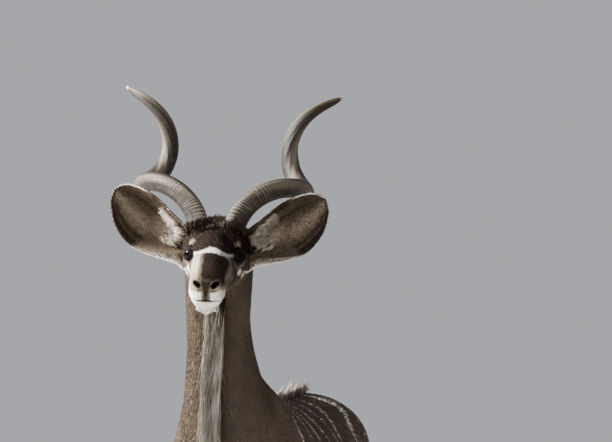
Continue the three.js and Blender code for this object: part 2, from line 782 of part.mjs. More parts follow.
// Hair on both edges of the tail, and the tuft at its end.
function tailLocks() {
  const last = TAIL.length - 1;
  return Array.from({ length: TAIL_LOCKS }, (_, i) => {
    const side = i % 2 ? 1 : -1;
    const share = (i + 0.5) / TAIL_LOCKS;
    const { y, z, wide } = tailAt(last * (0.34 + 0.6 * share));
    const spread = 46 - 26 * share;
    const length = 130 * varied();
    return lock({
      root: vector(side * wide * 0.5, y, z),
      middle: vector(side * (0.2 * wide + 0.7 * spread), y + 5, z - 0.5 * length),
      tip: vector(side * spread * varied(), y + 9, z - length),
      width: 34,
      thickness: 9,
      broad: vector(1, side * 0.5, 0),
    });
  });
}

// The head

function eyeCentre(side) {
  return headPoint(side * EYE_AT[0], EYE_AT[1], EYE_AT[2]);
}

// The almond-shaped opening between the lids, drawn out along the way the eye looks.
function lidOpening(side) {
  const half = 19.5;
  const high = 10.5;
  const outline = new THREE.Shape();
  outline.moveTo(-half, -3);
  outline.quadraticCurveTo(-7, -high - 4, 6, -high);
  outline.quadraticCurveTo(half - 2, -5, half, 1);
  outline.quadraticCurveTo(8, high + 6, -6, high + 1);
  outline.quadraticCurveTo(-half + 2, 5, -half, -3);
  const bar = new THREE.ExtrudeGeometry(outline, { depth: 60, bevelEnabled: false, curveSegments: 4 });
  const outwards = vector(side * EYE_LOOKS[0], EYE_LOOKS[1], EYE_LOOKS[2]).normalize();
  const upwards = UPWARD.clone().addScaledVector(outwards, -UPWARD.dot(outwards)).normalize();
  const across = upwards.clone().cross(outwards);
  bar.scale(side, 1, 1);
  bar.applyMatrix4(new THREE.Matrix4().makeBasis(across, upwards, outwards));
  const at = eyeCentre(side);
  return solidFromGeometry(bar.translate(at.x, at.y, at.z));
}

function nostril(side) {
  const hole = new THREE.SphereGeometry(1, 10, 8).scale(11, 16, 7);
  hole.rotateY(side * -0.5);
  hole.rotateZ(side * -0.5);
  hole.rotateX(HEAD_PITCH);
  const at = headPoint(side * 26, 252, 12);
  return solidFromGeometry(hole.translate(at.x, at.y, at.z));
}

// The line of the mouth: a thin slab without a smaller copy of the muzzle.
function mouthGroove() {
  const slab = new THREE.BoxGeometry(140, 150, 3.2);
  slab.rotateX(HEAD_PITCH - rad(3));
  const at = headPoint(0, 236, -40);
  const core = bodyTube(0, 7, 14, 20, -6);
  return solidFromGeometry(slab.translate(at.x, at.y, at.z)).subtract(core);
}

function headBlank(grow = 0) {
  const tube = bodyTube(0, NECK_FROM, 28, 24, grow);
  const lids = SIDES.map(([, side]) => ball(EYE_RADIUS + LID_THICKNESS + grow, eyeCentre(side), 16));
  return union([tube, ...lids]);
}

function headSolid() {
  let head = headBlank().subtract(mouthGroove());
  for (const [, side] of SIDES) {
    const socket = ball(EYE_RADIUS + GAP, eyeCentre(side), 16);
    head = head.subtract(union([lidOpening(side), socket])).subtract(nostril(side));
  }
  return largest(head);
}

// Assembly

const group = new THREE.Group();

const COAT = new THREE.MeshStandardMaterial({ color: "#8b7866", roughness: 0.85, metalness: 0 });
const HORN = new THREE.MeshStandardMaterial({ color: "#6f6455", roughness: 0.5, metalness: 0 });
const HOOF = new THREE.MeshStandardMaterial({ color: "#2b2622", roughness: 0.5, metalness: 0 });
const EYE = new THREE.MeshStandardMaterial({ color: "#1a120c", roughness: 0.06, metalness: 0 });

// Turns a solid's points with the head, moves it to the origin and adds it under a name.
function addNode(name, solid, material) {
  const { numProp, vertProperties, triVerts } = solid.simplify(FINEST).getMesh();
  const points = [];
  for (let i = 0; i < vertProperties.length; i += numProp) {
    const p = turned(vector(...vertProperties.slice(i, i + 3)));
    points.push(p.add(vector(...ORIGIN_SHIFT)));
  }
  const geometry = new THREE.BufferGeometry().setFromPoints(points);
  geometry.setIndex(Array.from(triVerts));
  geometry.computeVertexNormals();
  const mesh = new THREE.Mesh(geometry, material);
  mesh.name = name;
  group.add(mesh);
}

function torsoTube(grow = 0) {
  return bodyTube(TORSO_FROM, BODY_END, 30, 22, grow);
}

function addTorsoAndLegs() {
  const tube = torsoTube().subtract(neckTube(GAP));
  const limbs = LEGS.flatMap(({ stations, strides }) =>
    SIDES.map(([, side], i) => limbSolid(stations, side, strides[i])),
  );
  const whole = union([tube, ...limbs]);
  let torso = union([...backLocks(), ...chestLocks(), whole]);
  for (const leg of LEGS) {
    SIDES.forEach(([word, side], i) => {
      const stride = leg.strides[i];
      const claws = [1, -1].map((toe) => dewclawSolid(leg.stations, side, toe, stride));
      const limb = whole
        .intersect(legZone(leg, side, 0))
        .subtract(hoofSpace(leg.stations, stride, 0).intersect(halfSpace([0, 0, HOOF_TOP * 2], [0, 0, -1])));
      addNode(`${leg.name}_${word}`, largest(union([largest(limb), ...claws])), COAT);
      for (const [where, toe] of [["outer", 1], ["inner", -1]]) {
        addNode(`hoof_${leg.name}_${word}_${where}`, toeSolid(leg.stations, side, toe, stride), HOOF);
      }
      torso = torso.subtract(legZone(leg, side, GAP));
    });
  }
  addNode("torso", largest(torso), COAT);
}

function neckTube(grow = 0) {
  return bodyTube(NECK_FROM, TORSO_FROM, 18, 22, grow);
}

function addNeck(headGrown) {
  const hair = union([...napeLocks(), ...throatLocks()]).subtract(torsoTube(GAP));
  addNode("neck", largest(union([neckTube(), hair]).subtract(headGrown)), COAT);
}

function addTail() {
  addNode("tail", largest(union([tailCore(), ...tailLocks()]).subtract(torsoTube(GAP))), COAT);
}

function addHead(headGrown) {
  addNode("head", headSolid(), COAT);
  for (const [word, side] of SIDES) {
    addNode(`eye_${word}`, ball(EYE_RADIUS, eyeCentre(side), 16), EYE);
    addNode(`horn_${word}`, largest(hornSolid(side).subtract(headGrown)), HORN);
    addNode(`ear_${word}`, largest(earSolid(side).subtract(headGrown).subtract(neckTube(GAP))), COAT);
  }
}

const headGrown = headBlank(GAP);
addHead(headGrown);
addNeck(headGrown);
addTorsoAndLegs();
addTail();

export default group;
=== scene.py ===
"""Looks of a life-size greater kudu bull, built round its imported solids.

The animal is drawn in millimetres in a straight, symmetric stance, as its solids are: it faces -Y
and its left side is +X. Stance then turns the head and neck and sets every point in the frame, in
metres. Shapes are functions of two parameters on a grid; hair is thin closed blades on the skin.
"""

import logging
import math
from dataclasses import dataclass, field, fields
from enum import Enum
from typing import Callable, Sequence

import bpy
import numpy as np
from bpy.types import Material, Mesh, NodeSocket, NodeTree, Object
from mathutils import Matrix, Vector


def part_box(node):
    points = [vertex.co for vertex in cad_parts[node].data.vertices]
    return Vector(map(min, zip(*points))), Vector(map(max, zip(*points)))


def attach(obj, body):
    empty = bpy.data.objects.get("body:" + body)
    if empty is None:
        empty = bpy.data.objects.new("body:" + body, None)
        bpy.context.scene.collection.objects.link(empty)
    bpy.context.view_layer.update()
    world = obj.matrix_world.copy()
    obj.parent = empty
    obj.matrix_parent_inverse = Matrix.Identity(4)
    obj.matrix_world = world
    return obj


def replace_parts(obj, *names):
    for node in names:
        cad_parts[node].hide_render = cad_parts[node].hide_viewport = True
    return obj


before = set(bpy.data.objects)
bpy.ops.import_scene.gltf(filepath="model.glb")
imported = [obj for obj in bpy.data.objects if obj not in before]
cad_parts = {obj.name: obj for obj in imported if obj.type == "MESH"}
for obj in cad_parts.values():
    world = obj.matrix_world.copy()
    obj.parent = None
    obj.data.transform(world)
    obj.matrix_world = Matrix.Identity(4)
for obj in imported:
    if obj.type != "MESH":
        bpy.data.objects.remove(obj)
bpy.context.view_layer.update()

LOG = logging.getLogger("kudu")
METRE = 0.001  # of a millimetre
MARKS = ("white", "dark", "tan", "pale", "bare")
Array = np.ndarray
Value = np.ndarray | float
Triple = tuple[float, float, float]
Colour = Triple
Table = tuple[tuple[float, ...], ...]


class Side(Enum):
    """The two sides of the animal, with the sign of X on each."""

    LEFT = 1
    RIGHT = -1

    @property
    def word(self) -> str:
        """The side's name, as the solids spell it."""
        return self.name.lower()


class Part(Enum):
    """The parts that are joined into one skin, with the material index that marks each."""

    BODY = 0
    FORELEG = 1
    HINDLEG = 2
    EAR = 3
    TAIL = 4
    LID = 5


# Numbers


def smooth(t: Value) -> Array:
    """Eases from 0 to 1 as 3t² - 2t³, and holds at both ends."""
    c = np.clip(t, 0.0, 1.0)
    return c * c * (3 - 2 * c)


def ramp(x: Value, start: Value, over: Value) -> Array:
    """Eases from 0 at start to 1 at start + over."""
    return smooth((x - start) / over)


def fall(x: Value, start: Value, over: Value) -> Array:
    """Eases from 1 at start to 0 at start + over."""
    return 1 - ramp(x, start, over)


def bell(x: Value, middle: Value = 0.0, width: Value = 1.0) -> Array:
    """A bell of height 1: e to the minus square of how many widths x lies from the middle."""
    return np.exp(-np.square((x - middle) / width))


def turns(count: int, start: float = 0.0) -> Array:
    """The angles of one full turn in even steps, the first of them start steps past 0."""
    return 2 * math.pi * (np.arange(count) + start) / count


def xyz(x: Value, y: Value, z: Value) -> Array:
    """Points or vectors from three coordinates, which are spread over one shape first."""
    return np.stack(np.broadcast_arrays(x, y, z), axis=-1)


def unit(v: Array) -> Array:
    """Each vector divided by its own length."""
    return v / np.maximum(np.linalg.norm(v, axis=-1, keepdims=True), 1e-9)


def flat_on(v: Array, normal: Array) -> Array:
    """The unit direction of v in the plane across the normal."""
    return unit(v - normal * np.sum(v * normal, axis=-1, keepdims=True))


def away_from(way: Array, v: Array) -> Array:
    """The angle in degrees between each vector and one way, which is of length 1."""
    cosine = v @ way / np.maximum(np.linalg.norm(v, axis=-1), 1e-6)
    return np.degrees(np.arccos(np.clip(cosine, -1, 1)))


def rounded_box(angle: Array, n: Value) -> tuple[Array, Array]:
    """A point of a rounded box: cosine and sine, each raised to 2/n with its sign kept."""
    c, s = np.cos(angle), np.sin(angle)
    return np.sign(c) * np.abs(c) ** (2 / n), np.sign(s) * np.abs(s) ** (2 / n)


class Stations:
    """Rows of numbers joined by one smooth curve for each column.

    Between two knots a value follows the cubic whose slope at each knot is that of the line
    between the neighbouring rows.
    """

    def __init__(self, rows: Sequence[Sequence[float]], knots: Sequence[float] | None = None) -> None:
        """Keeps the rows and works out their slopes.

        Args:
            rows: one row of values for each knot.
            knots: rising numbers, or None for 0, 1, 2 and so on.
        """
        self.rows = np.array(rows, float)
        count = len(self.rows)
        self.knots = np.arange(count, dtype=float) if knots is None else np.array(knots, float)
        before = np.maximum(np.arange(count) - 1, 0)
        after = np.minimum(np.arange(count) + 1, count - 1)
        rise = self.rows[after] - self.rows[before]
        self.slopes = rise / (self.knots[after] - self.knots[before])[:, None]

    def __call__(self, t: Value) -> Array:
        """The row of values at each t, with the columns on the last axis."""
        t = np.asarray(t, float)
        i = np.clip(np.searchsorted(self.knots, t, side="right") - 1, 0, len(self.knots) - 2)
        h = self.knots[i + 1] - self.knots[i]
        x = ((t - self.knots[i]) / h)[..., None]
        h = h[..., None]
        x2, x3 = x * x, x * x * x
        return (
            self.rows[i] * (2 * x3 - 3 * x2 + 1)
            + self.slopes[i] * h * (x3 - 2 * x2 + x)
            + self.rows[i + 1] * (3 * x2 - 2 * x3)
            + self.slopes[i + 1] * h * (x3 - x2)
        )


# Stance


@dataclass(frozen=True)
class Stance:
    """The head's own frame, and the turn of head and neck out of the symmetric stance."""

    eye_y: float = -920.0
    eye_z: float = 1700.0
    pitch: float = math.radians(22.1)
    yaw: float = math.radians(6.6)
    roll: float = math.radians(3.1)
    turn_start: tuple[float, float] = (-540.0, 1200.0)
    turn_end: tuple[float, float] = (-760.0, 1565.0)
    roll_pivot: tuple[float, float] = (-815.0, 1690.0)
    eye_at: Triple = (63.0, 6.0, 0.0)

    @property
    def forward(self) -> Array:
        """The way the nose points."""
        return np.array([0.0, -math.cos(self.pitch), -math.sin(self.pitch)])

    @property
    def upward(self) -> Array:
        """Straight up out of the forehead."""
        return np.array([0.0, -math.sin(self.pitch), math.cos(self.pitch)])

    def head(self, sideways: Array, forward: Array, up: Array) -> Array:
        """A point measured from midway between the eyes, in the head's own directions."""
        y = self.eye_y + forward * self.forward[1] + up * self.upward[1]
        z = self.eye_z + forward * self.forward[2] + up * self.upward[2]
        return xyz(sideways, y, z)

    def in_head(self, p: Array) -> tuple[Array, Array, Array]:
        """How far sideways, forward and up each point lies in the head's frame."""
        d = p - np.array([0.0, self.eye_y, self.eye_z])
        return p[..., 0], d @ self.forward, d @ self.upward

    def eye(self, side: Side) -> Array:
        """The centre of an eye."""
        s, f, u = self.eye_at
        return self.head(side.value * s, f, u)

    def turned(self, p: Array) -> Array:
        """Turns points with the neck: the turn grows from its start to its end.

        A point first rolls about the nose line and then swings about the upright line through
        the foot of the neck, each by its share of the whole angle.
        """
        start, end = np.array(self.turn_start), np.array(self.turn_end)
        run = end - start
        share = smooth(((p[..., 1:] - start) @ run) / (run @ run))
        pivot = np.array([0.0, *self.roll_pivot])
        foot = np.array([0.0, self.turn_start[0], 0.0])
        rolled = spun(p - pivot, self.forward, -self.roll * share) + pivot
        return spun(rolled - foot, np.array([0.0, 0.0, 1.0]), self.yaw * share) + foot

    def shift(self) -> Array:
        """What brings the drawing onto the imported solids, read from where the eyes lie there."""
        packed = np.mean([np.mean(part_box(f"eye_{s.word}"), axis=0) for s in Side], axis=0)
        drawn = np.mean([self.turned(self.eye(s)) for s in Side], axis=0)
        return np.round(packed / METRE - drawn)

    def placed(self, p: Array) -> Array:
        """Points of the drawing, turned and set in the frame, in metres."""
        return (self.turned(p) + self.shift()) * METRE


def spun(v: Array, axis: Array, angle: Array) -> Array:
    """Turns vectors about an axis: v cos a + (k × v) sin a + k (k·v)(1 - cos a)."""
    a = np.asarray(angle)[..., None]
    dot = (v @ axis)[..., None]
    swung = v * np.cos(a) + np.cross(np.broadcast_to(axis, v.shape), v) * np.sin(a)
    return swung + axis * dot * (1 - np.cos(a))


# Meshes


@dataclass
class Shell:
    """A closed surface of quads and triangles, with a few numbers kept at each point."""

    points: Array
    faces: list[Array]
    marks: dict[str, Array] = field(default_factory=dict)

    def outward(self) -> "Shell":
        """The same shell with its faces pointing out, judged by the sign of its volume."""
        volume = 0.0
        for block in self.faces:
            p = self.points[block]
            for k in range(2, block.shape[1]):
                volume += np.sum(p[:, 0] * np.cross(p[:, k - 1], p[:, k]))
        if volume < 0:
            self.faces = [block[:, ::-1] for block in self.faces]
        return self

    def mesh(self, name: str, stance: Stance, *kept: str) -> Mesh:
        """The shell as a mesh, set in the frame, with the named numbers kept on it."""
        made = mesh_from(name, stance.placed(self.points), self.faces)
        for key in kept:
            mark(made, key, self.marks[key])
        return made


def closed_tube(rings: Array, marks: dict[str, Array] | None = None) -> Shell:
    """A shell over a row of rings, with a pole at the middle of each end ring.

    Args:
        rings: points in the shape (rings, points of a ring, 3).
        marks: numbers under their names, each spread over (rings, points of a ring).

    Returns:
        The closed shell, its faces pointing out.
    """
    rows, sides = rings.shape[:2]
    grid = np.arange(rows * sides).reshape(rows, sides)
    nxt = np.roll(grid, -1, axis=1)
    quads = np.stack([grid[:-1], nxt[:-1], nxt[1:], grid[1:]], axis=-1).reshape(-1, 4)
    poles = np.array([rows * sides, rows * sides + 1])
    first = np.stack([np.full(sides, poles[0]), nxt[0], grid[0]], axis=-1)
    last = np.stack([np.full(sides, poles[1]), grid[-1], nxt[-1]], axis=-1)
    points = np.concatenate([rings.reshape(-1, 3), rings[0].mean(0)[None], rings[-1].mean(0)[None]])
    kept = {}
    for name, values in (marks or {}).items():
        m = np.broadcast_to(values, (rows, sides))
        kept[name] = np.concatenate([m.reshape(-1), [m[0].mean(), m[-1].mean()]])
    return Shell(points, [quads, np.concatenate([first, last])], kept).outward()


def closed_ring(loops: Array) -> Shell:
    """A shell like a bent ring: a grid that closes on itself in both directions."""
    rows, sides = loops.shape[:2]
    grid = np.arange(rows * sides).reshape(rows, sides)
    right, below = np.roll(grid, -1, axis=1), np.roll(grid, -1, axis=0)
    corner = np.roll(right, -1, axis=0)
    quads = np.stack([grid, right, corner, below], axis=-1).reshape(-1, 4)
    return Shell(loops.reshape(-1, 3), [quads]).outward()


def grid_normals(p: Array) -> Array:
    """Normals of a tube's rings: the cross product of the steps along and around."""
    along = np.gradient(p, axis=0)
    around = np.roll(p, -1, axis=1) - np.roll(p, 1, axis=1)
    n = unit(np.cross(along, around))
    middle = p.mean(axis=1, keepdims=True)
    flip = np.sign(np.sum(n * (p - middle), axis=(1, 2)))
    return n * np.where(flip == 0, 1, flip)[:, None, None]


def mesh_from(name: str, points: Array, faces: Sequence[Array]) -> Mesh:
    """A Blender mesh from whole arrays.

    Args:
        name: the mesh's name.
        points: its vertices.
        faces: blocks of faces, each with one number of corners.

    Returns:
        The mesh, shaded smooth.
    """
    mesh = bpy.data.meshes.new(name)
    corners = np.concatenate([block.reshape(-1) for block in faces]).astype(np.int32)
    sizes = np.concatenate([np.full(len(block), block.shape[1]) for block in faces]).astype(np.int32)
    starts = np.concatenate([[0], np.cumsum(sizes)[:-1]]).astype(np.int32)
    mesh.vertices.add(len(points))
    mesh.vertices.foreach_set("co", np.ascontiguousarray(points, dtype=np.float32).reshape(-1))
    mesh.loops.add(len(corners))
    mesh.loops.foreach_set("vertex_index", corners)
    mesh.polygons.add(len(sizes))
    mesh.polygons.foreach_set("loop_start", starts)
    mesh.polygons.foreach_set("use_smooth", np.ones(len(sizes), bool))
    mesh.update(calc_edges=True)
    return mesh


def mark(mesh: Mesh, name: str, values: Array) -> None:
    """Keeps a number, or a vector, at each vertex under a name."""
    kind = "FLOAT" if values.ndim == 1 else "FLOAT_VECTOR"
    slot = "value" if values.ndim == 1 else "vector"
    layer = mesh.attributes.new(name, kind, "POINT")
    layer.data.foreach_set(slot, values.astype(np.float32).reshape(-1))


def unwrap(mesh: Mesh, uv: Array) -> None:
    """Lays a UV map named OFBake over the mesh, from one place for each vertex."""
    layer = mesh.uv_layers.new(name="OFBake")
    corner = np.empty(len(mesh.loops), np.int32)
    mesh.loops.foreach_get("vertex_index", corner)
    layer.data.foreach_set("uv", uv[corner].astype(np.float32).reshape(-1))


def unwrap_small(mesh: Mesh, places: Array, corners: int) -> None:
    """Unwraps many small shapes, each onto a square of its own round a place.

    Args:
        mesh: the shapes, one after another.
        places: where each shape lies on the unwrap, from 0 to 1 both ways.
        corners: how many vertices a shape has; they take the square's corners in turn.
    """
    half = 0.0015
    square = half * np.array([(-1, -1), (1, -1), (1, 1), (-1, 1)])[np.arange(corners) % 4]
    unwrap(mesh, (0.01 + 0.98 * places[:, None, :] + square).reshape(-1, 2))


def show(mesh: Mesh, material: Material) -> Object:
    """Puts a mesh in the scene as a piece that rides on the one body.

    Args:
        mesh: the finished mesh, in metres, in place.
        material: its finish.

    Returns:
        The piece.
    """
    mesh.materials.clear()
    mesh.materials.append(material)
    piece = bpy.data.objects.new(mesh.name, mesh)
    bpy.context.scene.collection.objects.link(piece)
    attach(piece, "root")
    LOG.info("%s: %d faces", piece.name, len(mesh.polygons))
    return piece


# Shader sums


def feed(tree: NodeTree, port: NodeSocket, value: "Sock | float | tuple") -> None:
    """Links a socket to a port, or gives the port a plain value, a colour with alpha 1."""
    if isinstance(value, Sock):
        tree.links.new(value.socket, port)
    elif port.type == "RGBA":
        port.default_value = (*value, 1.0)
    else:
        port.default_value = value


class Sock:
    """A socket of a node tree that takes part in sums."""

    def __init__(self, tree: NodeTree, socket: NodeSocket) -> None:
        """Wraps the socket."""
        self.tree = tree
        self.socket = socket

    def _math(self, kind: str, *values: "Sock | float") -> "Sock":
        """A Math node over this tree's sockets and plain numbers."""
        node = self.tree.nodes.new("ShaderNodeMath")
        node.operation = kind
        for port, value in zip(node.inputs, values):
            feed(self.tree, port, value)
        return Sock(self.tree, node.outputs[0])

    def __add__(self, other: "Sock | float") -> "Sock":
        """self + other."""
        return self._math("ADD", self, other)

    def __radd__(self, other: float) -> "Sock":
        """other + self."""
        return self._math("ADD", other, self)

    def __sub__(self, other: "Sock | float") -> "Sock":
        """self - other."""
        return self._math("SUBTRACT", self, other)

    def __rsub__(self, other: float) -> "Sock":
        """other - self."""
        return self._math("SUBTRACT", other, self)

    def __mul__(self, other: "Sock | float") -> "Sock":
        """self × other."""
        return self._math("MULTIPLY", self, other)

    def __rmul__(self, other: float) -> "Sock":
        """other × self."""
        return self._math("MULTIPLY", other, self)

    def held(self) -> "Sock":
        """self, held between 0 and 1."""
        return self._math("MINIMUM", self._math("MAXIMUM", self, 0.0), 1.0)


def linear(red: int, green: int, blue: int) -> Colour:
    """A screen colour of 0 to 255 as the linear colour of a shader."""
    return tuple(
        c / 12.92 if c <= 0.04045 else ((c + 0.055) / 1.055) ** 2.4
        for c in (red / 255, green / 255, blue / 255)
    )


class Finish:
    """One material under construction."""

    def __init__(self, name: str, **plain: float) -> None:
        """Starts a material from a Principled shader.

        Args:
            name: the material's name.
            plain: values of shader sockets that are the same all over.
        """
        self.material = bpy.data.materials.new(name)
        self.material.use_nodes = True
        self.tree = self.material.node_tree
        self.shader = self.tree.nodes["Principled BSDF"]
        for socket, value in plain.items():
            self.shader.inputs[socket.replace("_", " ")].default_value = value

    def node(self, kind: str, settings: dict, inputs: dict, output: str | int) -> Sock:
        """Adds a node.

        Args:
            kind: the node's type, without its ShaderNode prefix.
            settings: properties of the node, which are set first.
            inputs: what its sockets hold, by their names or places.
            output: the name or place of the socket that is used.

        Returns:
            That socket.
        """
        made = self.tree.nodes.new("ShaderNode" + kind)
        for key, value in settings.items():
            setattr(made, key, value)
        for key, value in inputs.items():
            feed(self.tree, made.inputs[key], value)
        return Sock(self.tree, made.outputs[output])

    def place(self) -> Sock:
        """Object coordinates, in metres."""
        return self.node("TexCoord", {}, {}, "Object")

    def mark(self, name: str) -> Sock:
        """A number kept at each point of the mesh."""
        return self.node("Attribute", {"attribute_name": name}, {}, "Fac")

    def flow(self, name: str, scale: Triple) -> Sock:
        """A vector kept at each point, scaled along each of its axes."""
        vector = self.node("Attribute", {"attribute_name": name}, {}, "Vector")
        return self.node("VectorMath", {"operation": "MULTIPLY"}, {0: vector, 1: scale}, 0)

    def noise(self, vector: Sock, scale: float, detail: float = 3.0, rough: float = 0.55) -> Sock:
        """Fractal noise between 0 and 1."""
        inputs = {"Vector": vector, "Scale": scale, "Detail": detail, "Roughness": rough}
        return self.node("TexNoise", {}, inputs, "Fac")

    def mix(self, share: "Sock | float", a: "Sock | Colour", b: "Sock | Colour") -> Sock:
        """Colour a where share is 0 and colour b where it is 1."""
        return self.node("Mix", {"data_type": "RGBA"}, {0: share, 6: a, 7: b}, 2)

    def drive(self, socket: str, value: Sock) -> None:
        """Links a value to a socket of the shader."""
        feed(self.tree, self.shader.inputs[socket], value)

    def bump(self, height: Sock, depth: float, strength: float = 1.0) -> None:
        """Raises the surface by a height of 0 to 1 times a depth in metres."""
        inputs = {"Height": height, "Distance": depth, "Strength": strength}
        self.drive("Normal", self.node("Bump", {}, inputs, "Normal"))


@dataclass(frozen=True)
class CoatFinish:
    """Short hair in muted grey-brown, with the marks that the skin and the hair both keep.

    The marks white, dark, tan, pale and bare run from 0 to 1 at each point, and shade differs
    from one tuft to the next.
    """

    base: Colour = linear(117, 102, 87)
    base_cool: Colour = linear(98, 89, 80)
    dark: Colour = linear(42, 32, 25)
    tan: Colour = linear(150, 123, 96)
    pale: Colour = linear(186, 172, 153)
    white: Colour = linear(233, 228, 218)
    bare: Colour = linear(13, 12, 12)
    patch_size: float = 7.0
    streak: Triple = (0.05, 0.7, 0.3)

    def build(self, name: str, hair: bool) -> Material:
        """Makes the material.

        Args:
            name: the material's name.
            hair: True for blades of hair, False for the skin under them.

        Returns:
            The material.
        """
        f = Finish(name, Roughness=0.7, Specular_IOR_Level=0.07, Sheen_Weight=0.02, Sheen_Roughness=0.5)
        place = f.place()
        broad = f.noise(place, self.patch_size, 4.0)
        colour = f.mix(((broad - 0.35) * 2.4).held(), self.base, self.base_cool)
        layers = {"tan": self.tan, "pale": self.pale, "dark": self.dark, "white": self.white}
        for name, tone in layers.items():
            colour = f.mix(f.mark(name).held(), colour, tone)
        bare = f.mark("bare").held()
        colour = f.mix(bare, colour, self.bare)
        fine = f.noise(f.flow("lie", self.streak), 1.0, 3.0, 0.6)
        depth = (1 - bare) * ((f.mark("shade") if hair else fine) * 0.36 + 0.8)
        inputs = {0: colour, "Scale": depth + bare}
        f.drive("Base Color", f.node("VectorMath", {"operation": "SCALE"}, inputs, 0))
        f.drive("Roughness", 0.74 - bare * 0.2)
        if not hair:
            pores = f.noise(place, 900.0, 2.0)
            f.bump((1 - bare) * fine + bare * pores * 0.35, 0.0012)
        return f.material


@dataclass(frozen=True)
class HornFinish:
    """Horn: brown and fibrous at the base, smoother and greyer above, with an ivory tip."""

    base: Colour = linear(61, 53, 45)
    pale: Colour = linear(160, 147, 129)
    dark: Colour = linear(36, 31, 27)
    tip: Colour = linear(214, 200, 172)

    def build(self) -> Material:
        """Makes the material.

        The mark grow holds millimetres along and round the horn, and reach runs from 0 at its base to 1 at
        its tip. wear paints the ridge crests and the keel paler: partly real wear, partly painted
        highlight.
        """
        f = Finish("horn", Specular_IOR_Level=0.28)
        fibres = f.noise(f.flow("grow", (0.012, 0.42, 0.0)), 1.0, 4.0, 0.65)
        bands = f.noise(f.flow("grow", (0.085, 0.02, 0.0)), 1.0, 3.0)
        t = f.mark("reach")
        colour = f.mix(((fibres - 0.3) * 2.2).held(), self.dark, self.base)
        colour = f.mix(((bands - 0.56) * 1.3 * (1 - t * 0.9)).held(), colour, self.pale)
        # paler on the ridge crests and along the keel: partly real wear, partly painted highlight
        colour = f.mix(f.mark("wear").held() * 0.75, colour, self.pale)
        colour = f.mix(((t - 0.955) * 40.0).held(), colour, self.tip)
        f.drive("Base Color", colour)
        f.drive("Roughness", 0.36 + fibres * 0.3)
        f.bump(fibres * 0.7 + bands * 0.3, 0.0022)
        return f.material


@dataclass(frozen=True)
class HoofFinish:
    """Dark hoof horn with growth lines, scuffed towards the ground."""

    dark: Colour = linear(34, 29, 26)
    worn: Colour = linear(86, 76, 66)

    def build(self) -> Material:
        """Makes the material. The mark low runs from 0 at the coronet to 1 at the sole."""
        f = Finish("hoof", Specular_IOR_Level=0.4)
        place = f.place()
        scuffs = f.noise(place, 120.0, 4.0, 0.7)
        low = f.mark("low")
        rings = f.noise(f.flow("rings", (0.35, 0.02, 0.0)), 1.0, 2.0)
        colour = f.mix(((scuffs - 0.55) * 4.0 * low + (rings - 0.5) * 0.9).held(), self.dark, self.worn)
        f.drive("Base Color", colour)
        f.drive("Roughness", 0.38 + scuffs * 0.35)
        f.bump(rings * 0.6 + scuffs * 0.4, 0.0012)
        return f.material


@dataclass(frozen=True)
class EyeFinish:
    """A wet dark eye: a deep brown iris round a wide black pupil."""

    iris: Colour = linear(58, 34, 20)
    pupil: Colour = linear(6, 5, 5)

    def build(self) -> Material:
        """Makes the material. The mark pupil is 1 inside the pupil and 0 well outside it."""
        f = Finish("eye", Coat_Weight=0.5, Coat_Roughness=0.03, Coat_IOR=1.18, Specular_IOR_Level=0.06)
        fibres = f.noise(f.place(), 700.0, 3.0)
        pupil = f.mark("pupil").held()
        colour = f.mix(((fibres - 0.35) * 1.6).held(), self.pupil, self.iris)
        f.drive("Base Color", f.mix(pupil, colour, self.pupil))
        f.drive("Roughness", 0.12 + fibres * 0.1)
        return f.material


@dataclass(frozen=True)
class FloorFinish:
    """A matt, pale studio floor with a trace of unevenness."""

    tone: Colour = linear(206, 205, 203)
    other: Colour = linear(198, 197, 195)

    def build(self) -> Material:
        """Makes the material."""
        f = Finish("floor", Specular_IOR_Level=0.2)
        cloud = f.noise(f.place(), 0.8, 4.0)
        f.drive("Base Color", f.mix(cloud, self.tone, self.other))
        f.drive("Roughness", 0.7 + cloud * 0.2)
        return f.material


# The body


@dataclass(frozen=True)
class Swelling:
    """A push of the surface round a centre, which fades as a bell along each axis."""

    at: Triple
    size: Triple
    push: Triple
    in_head: bool = False


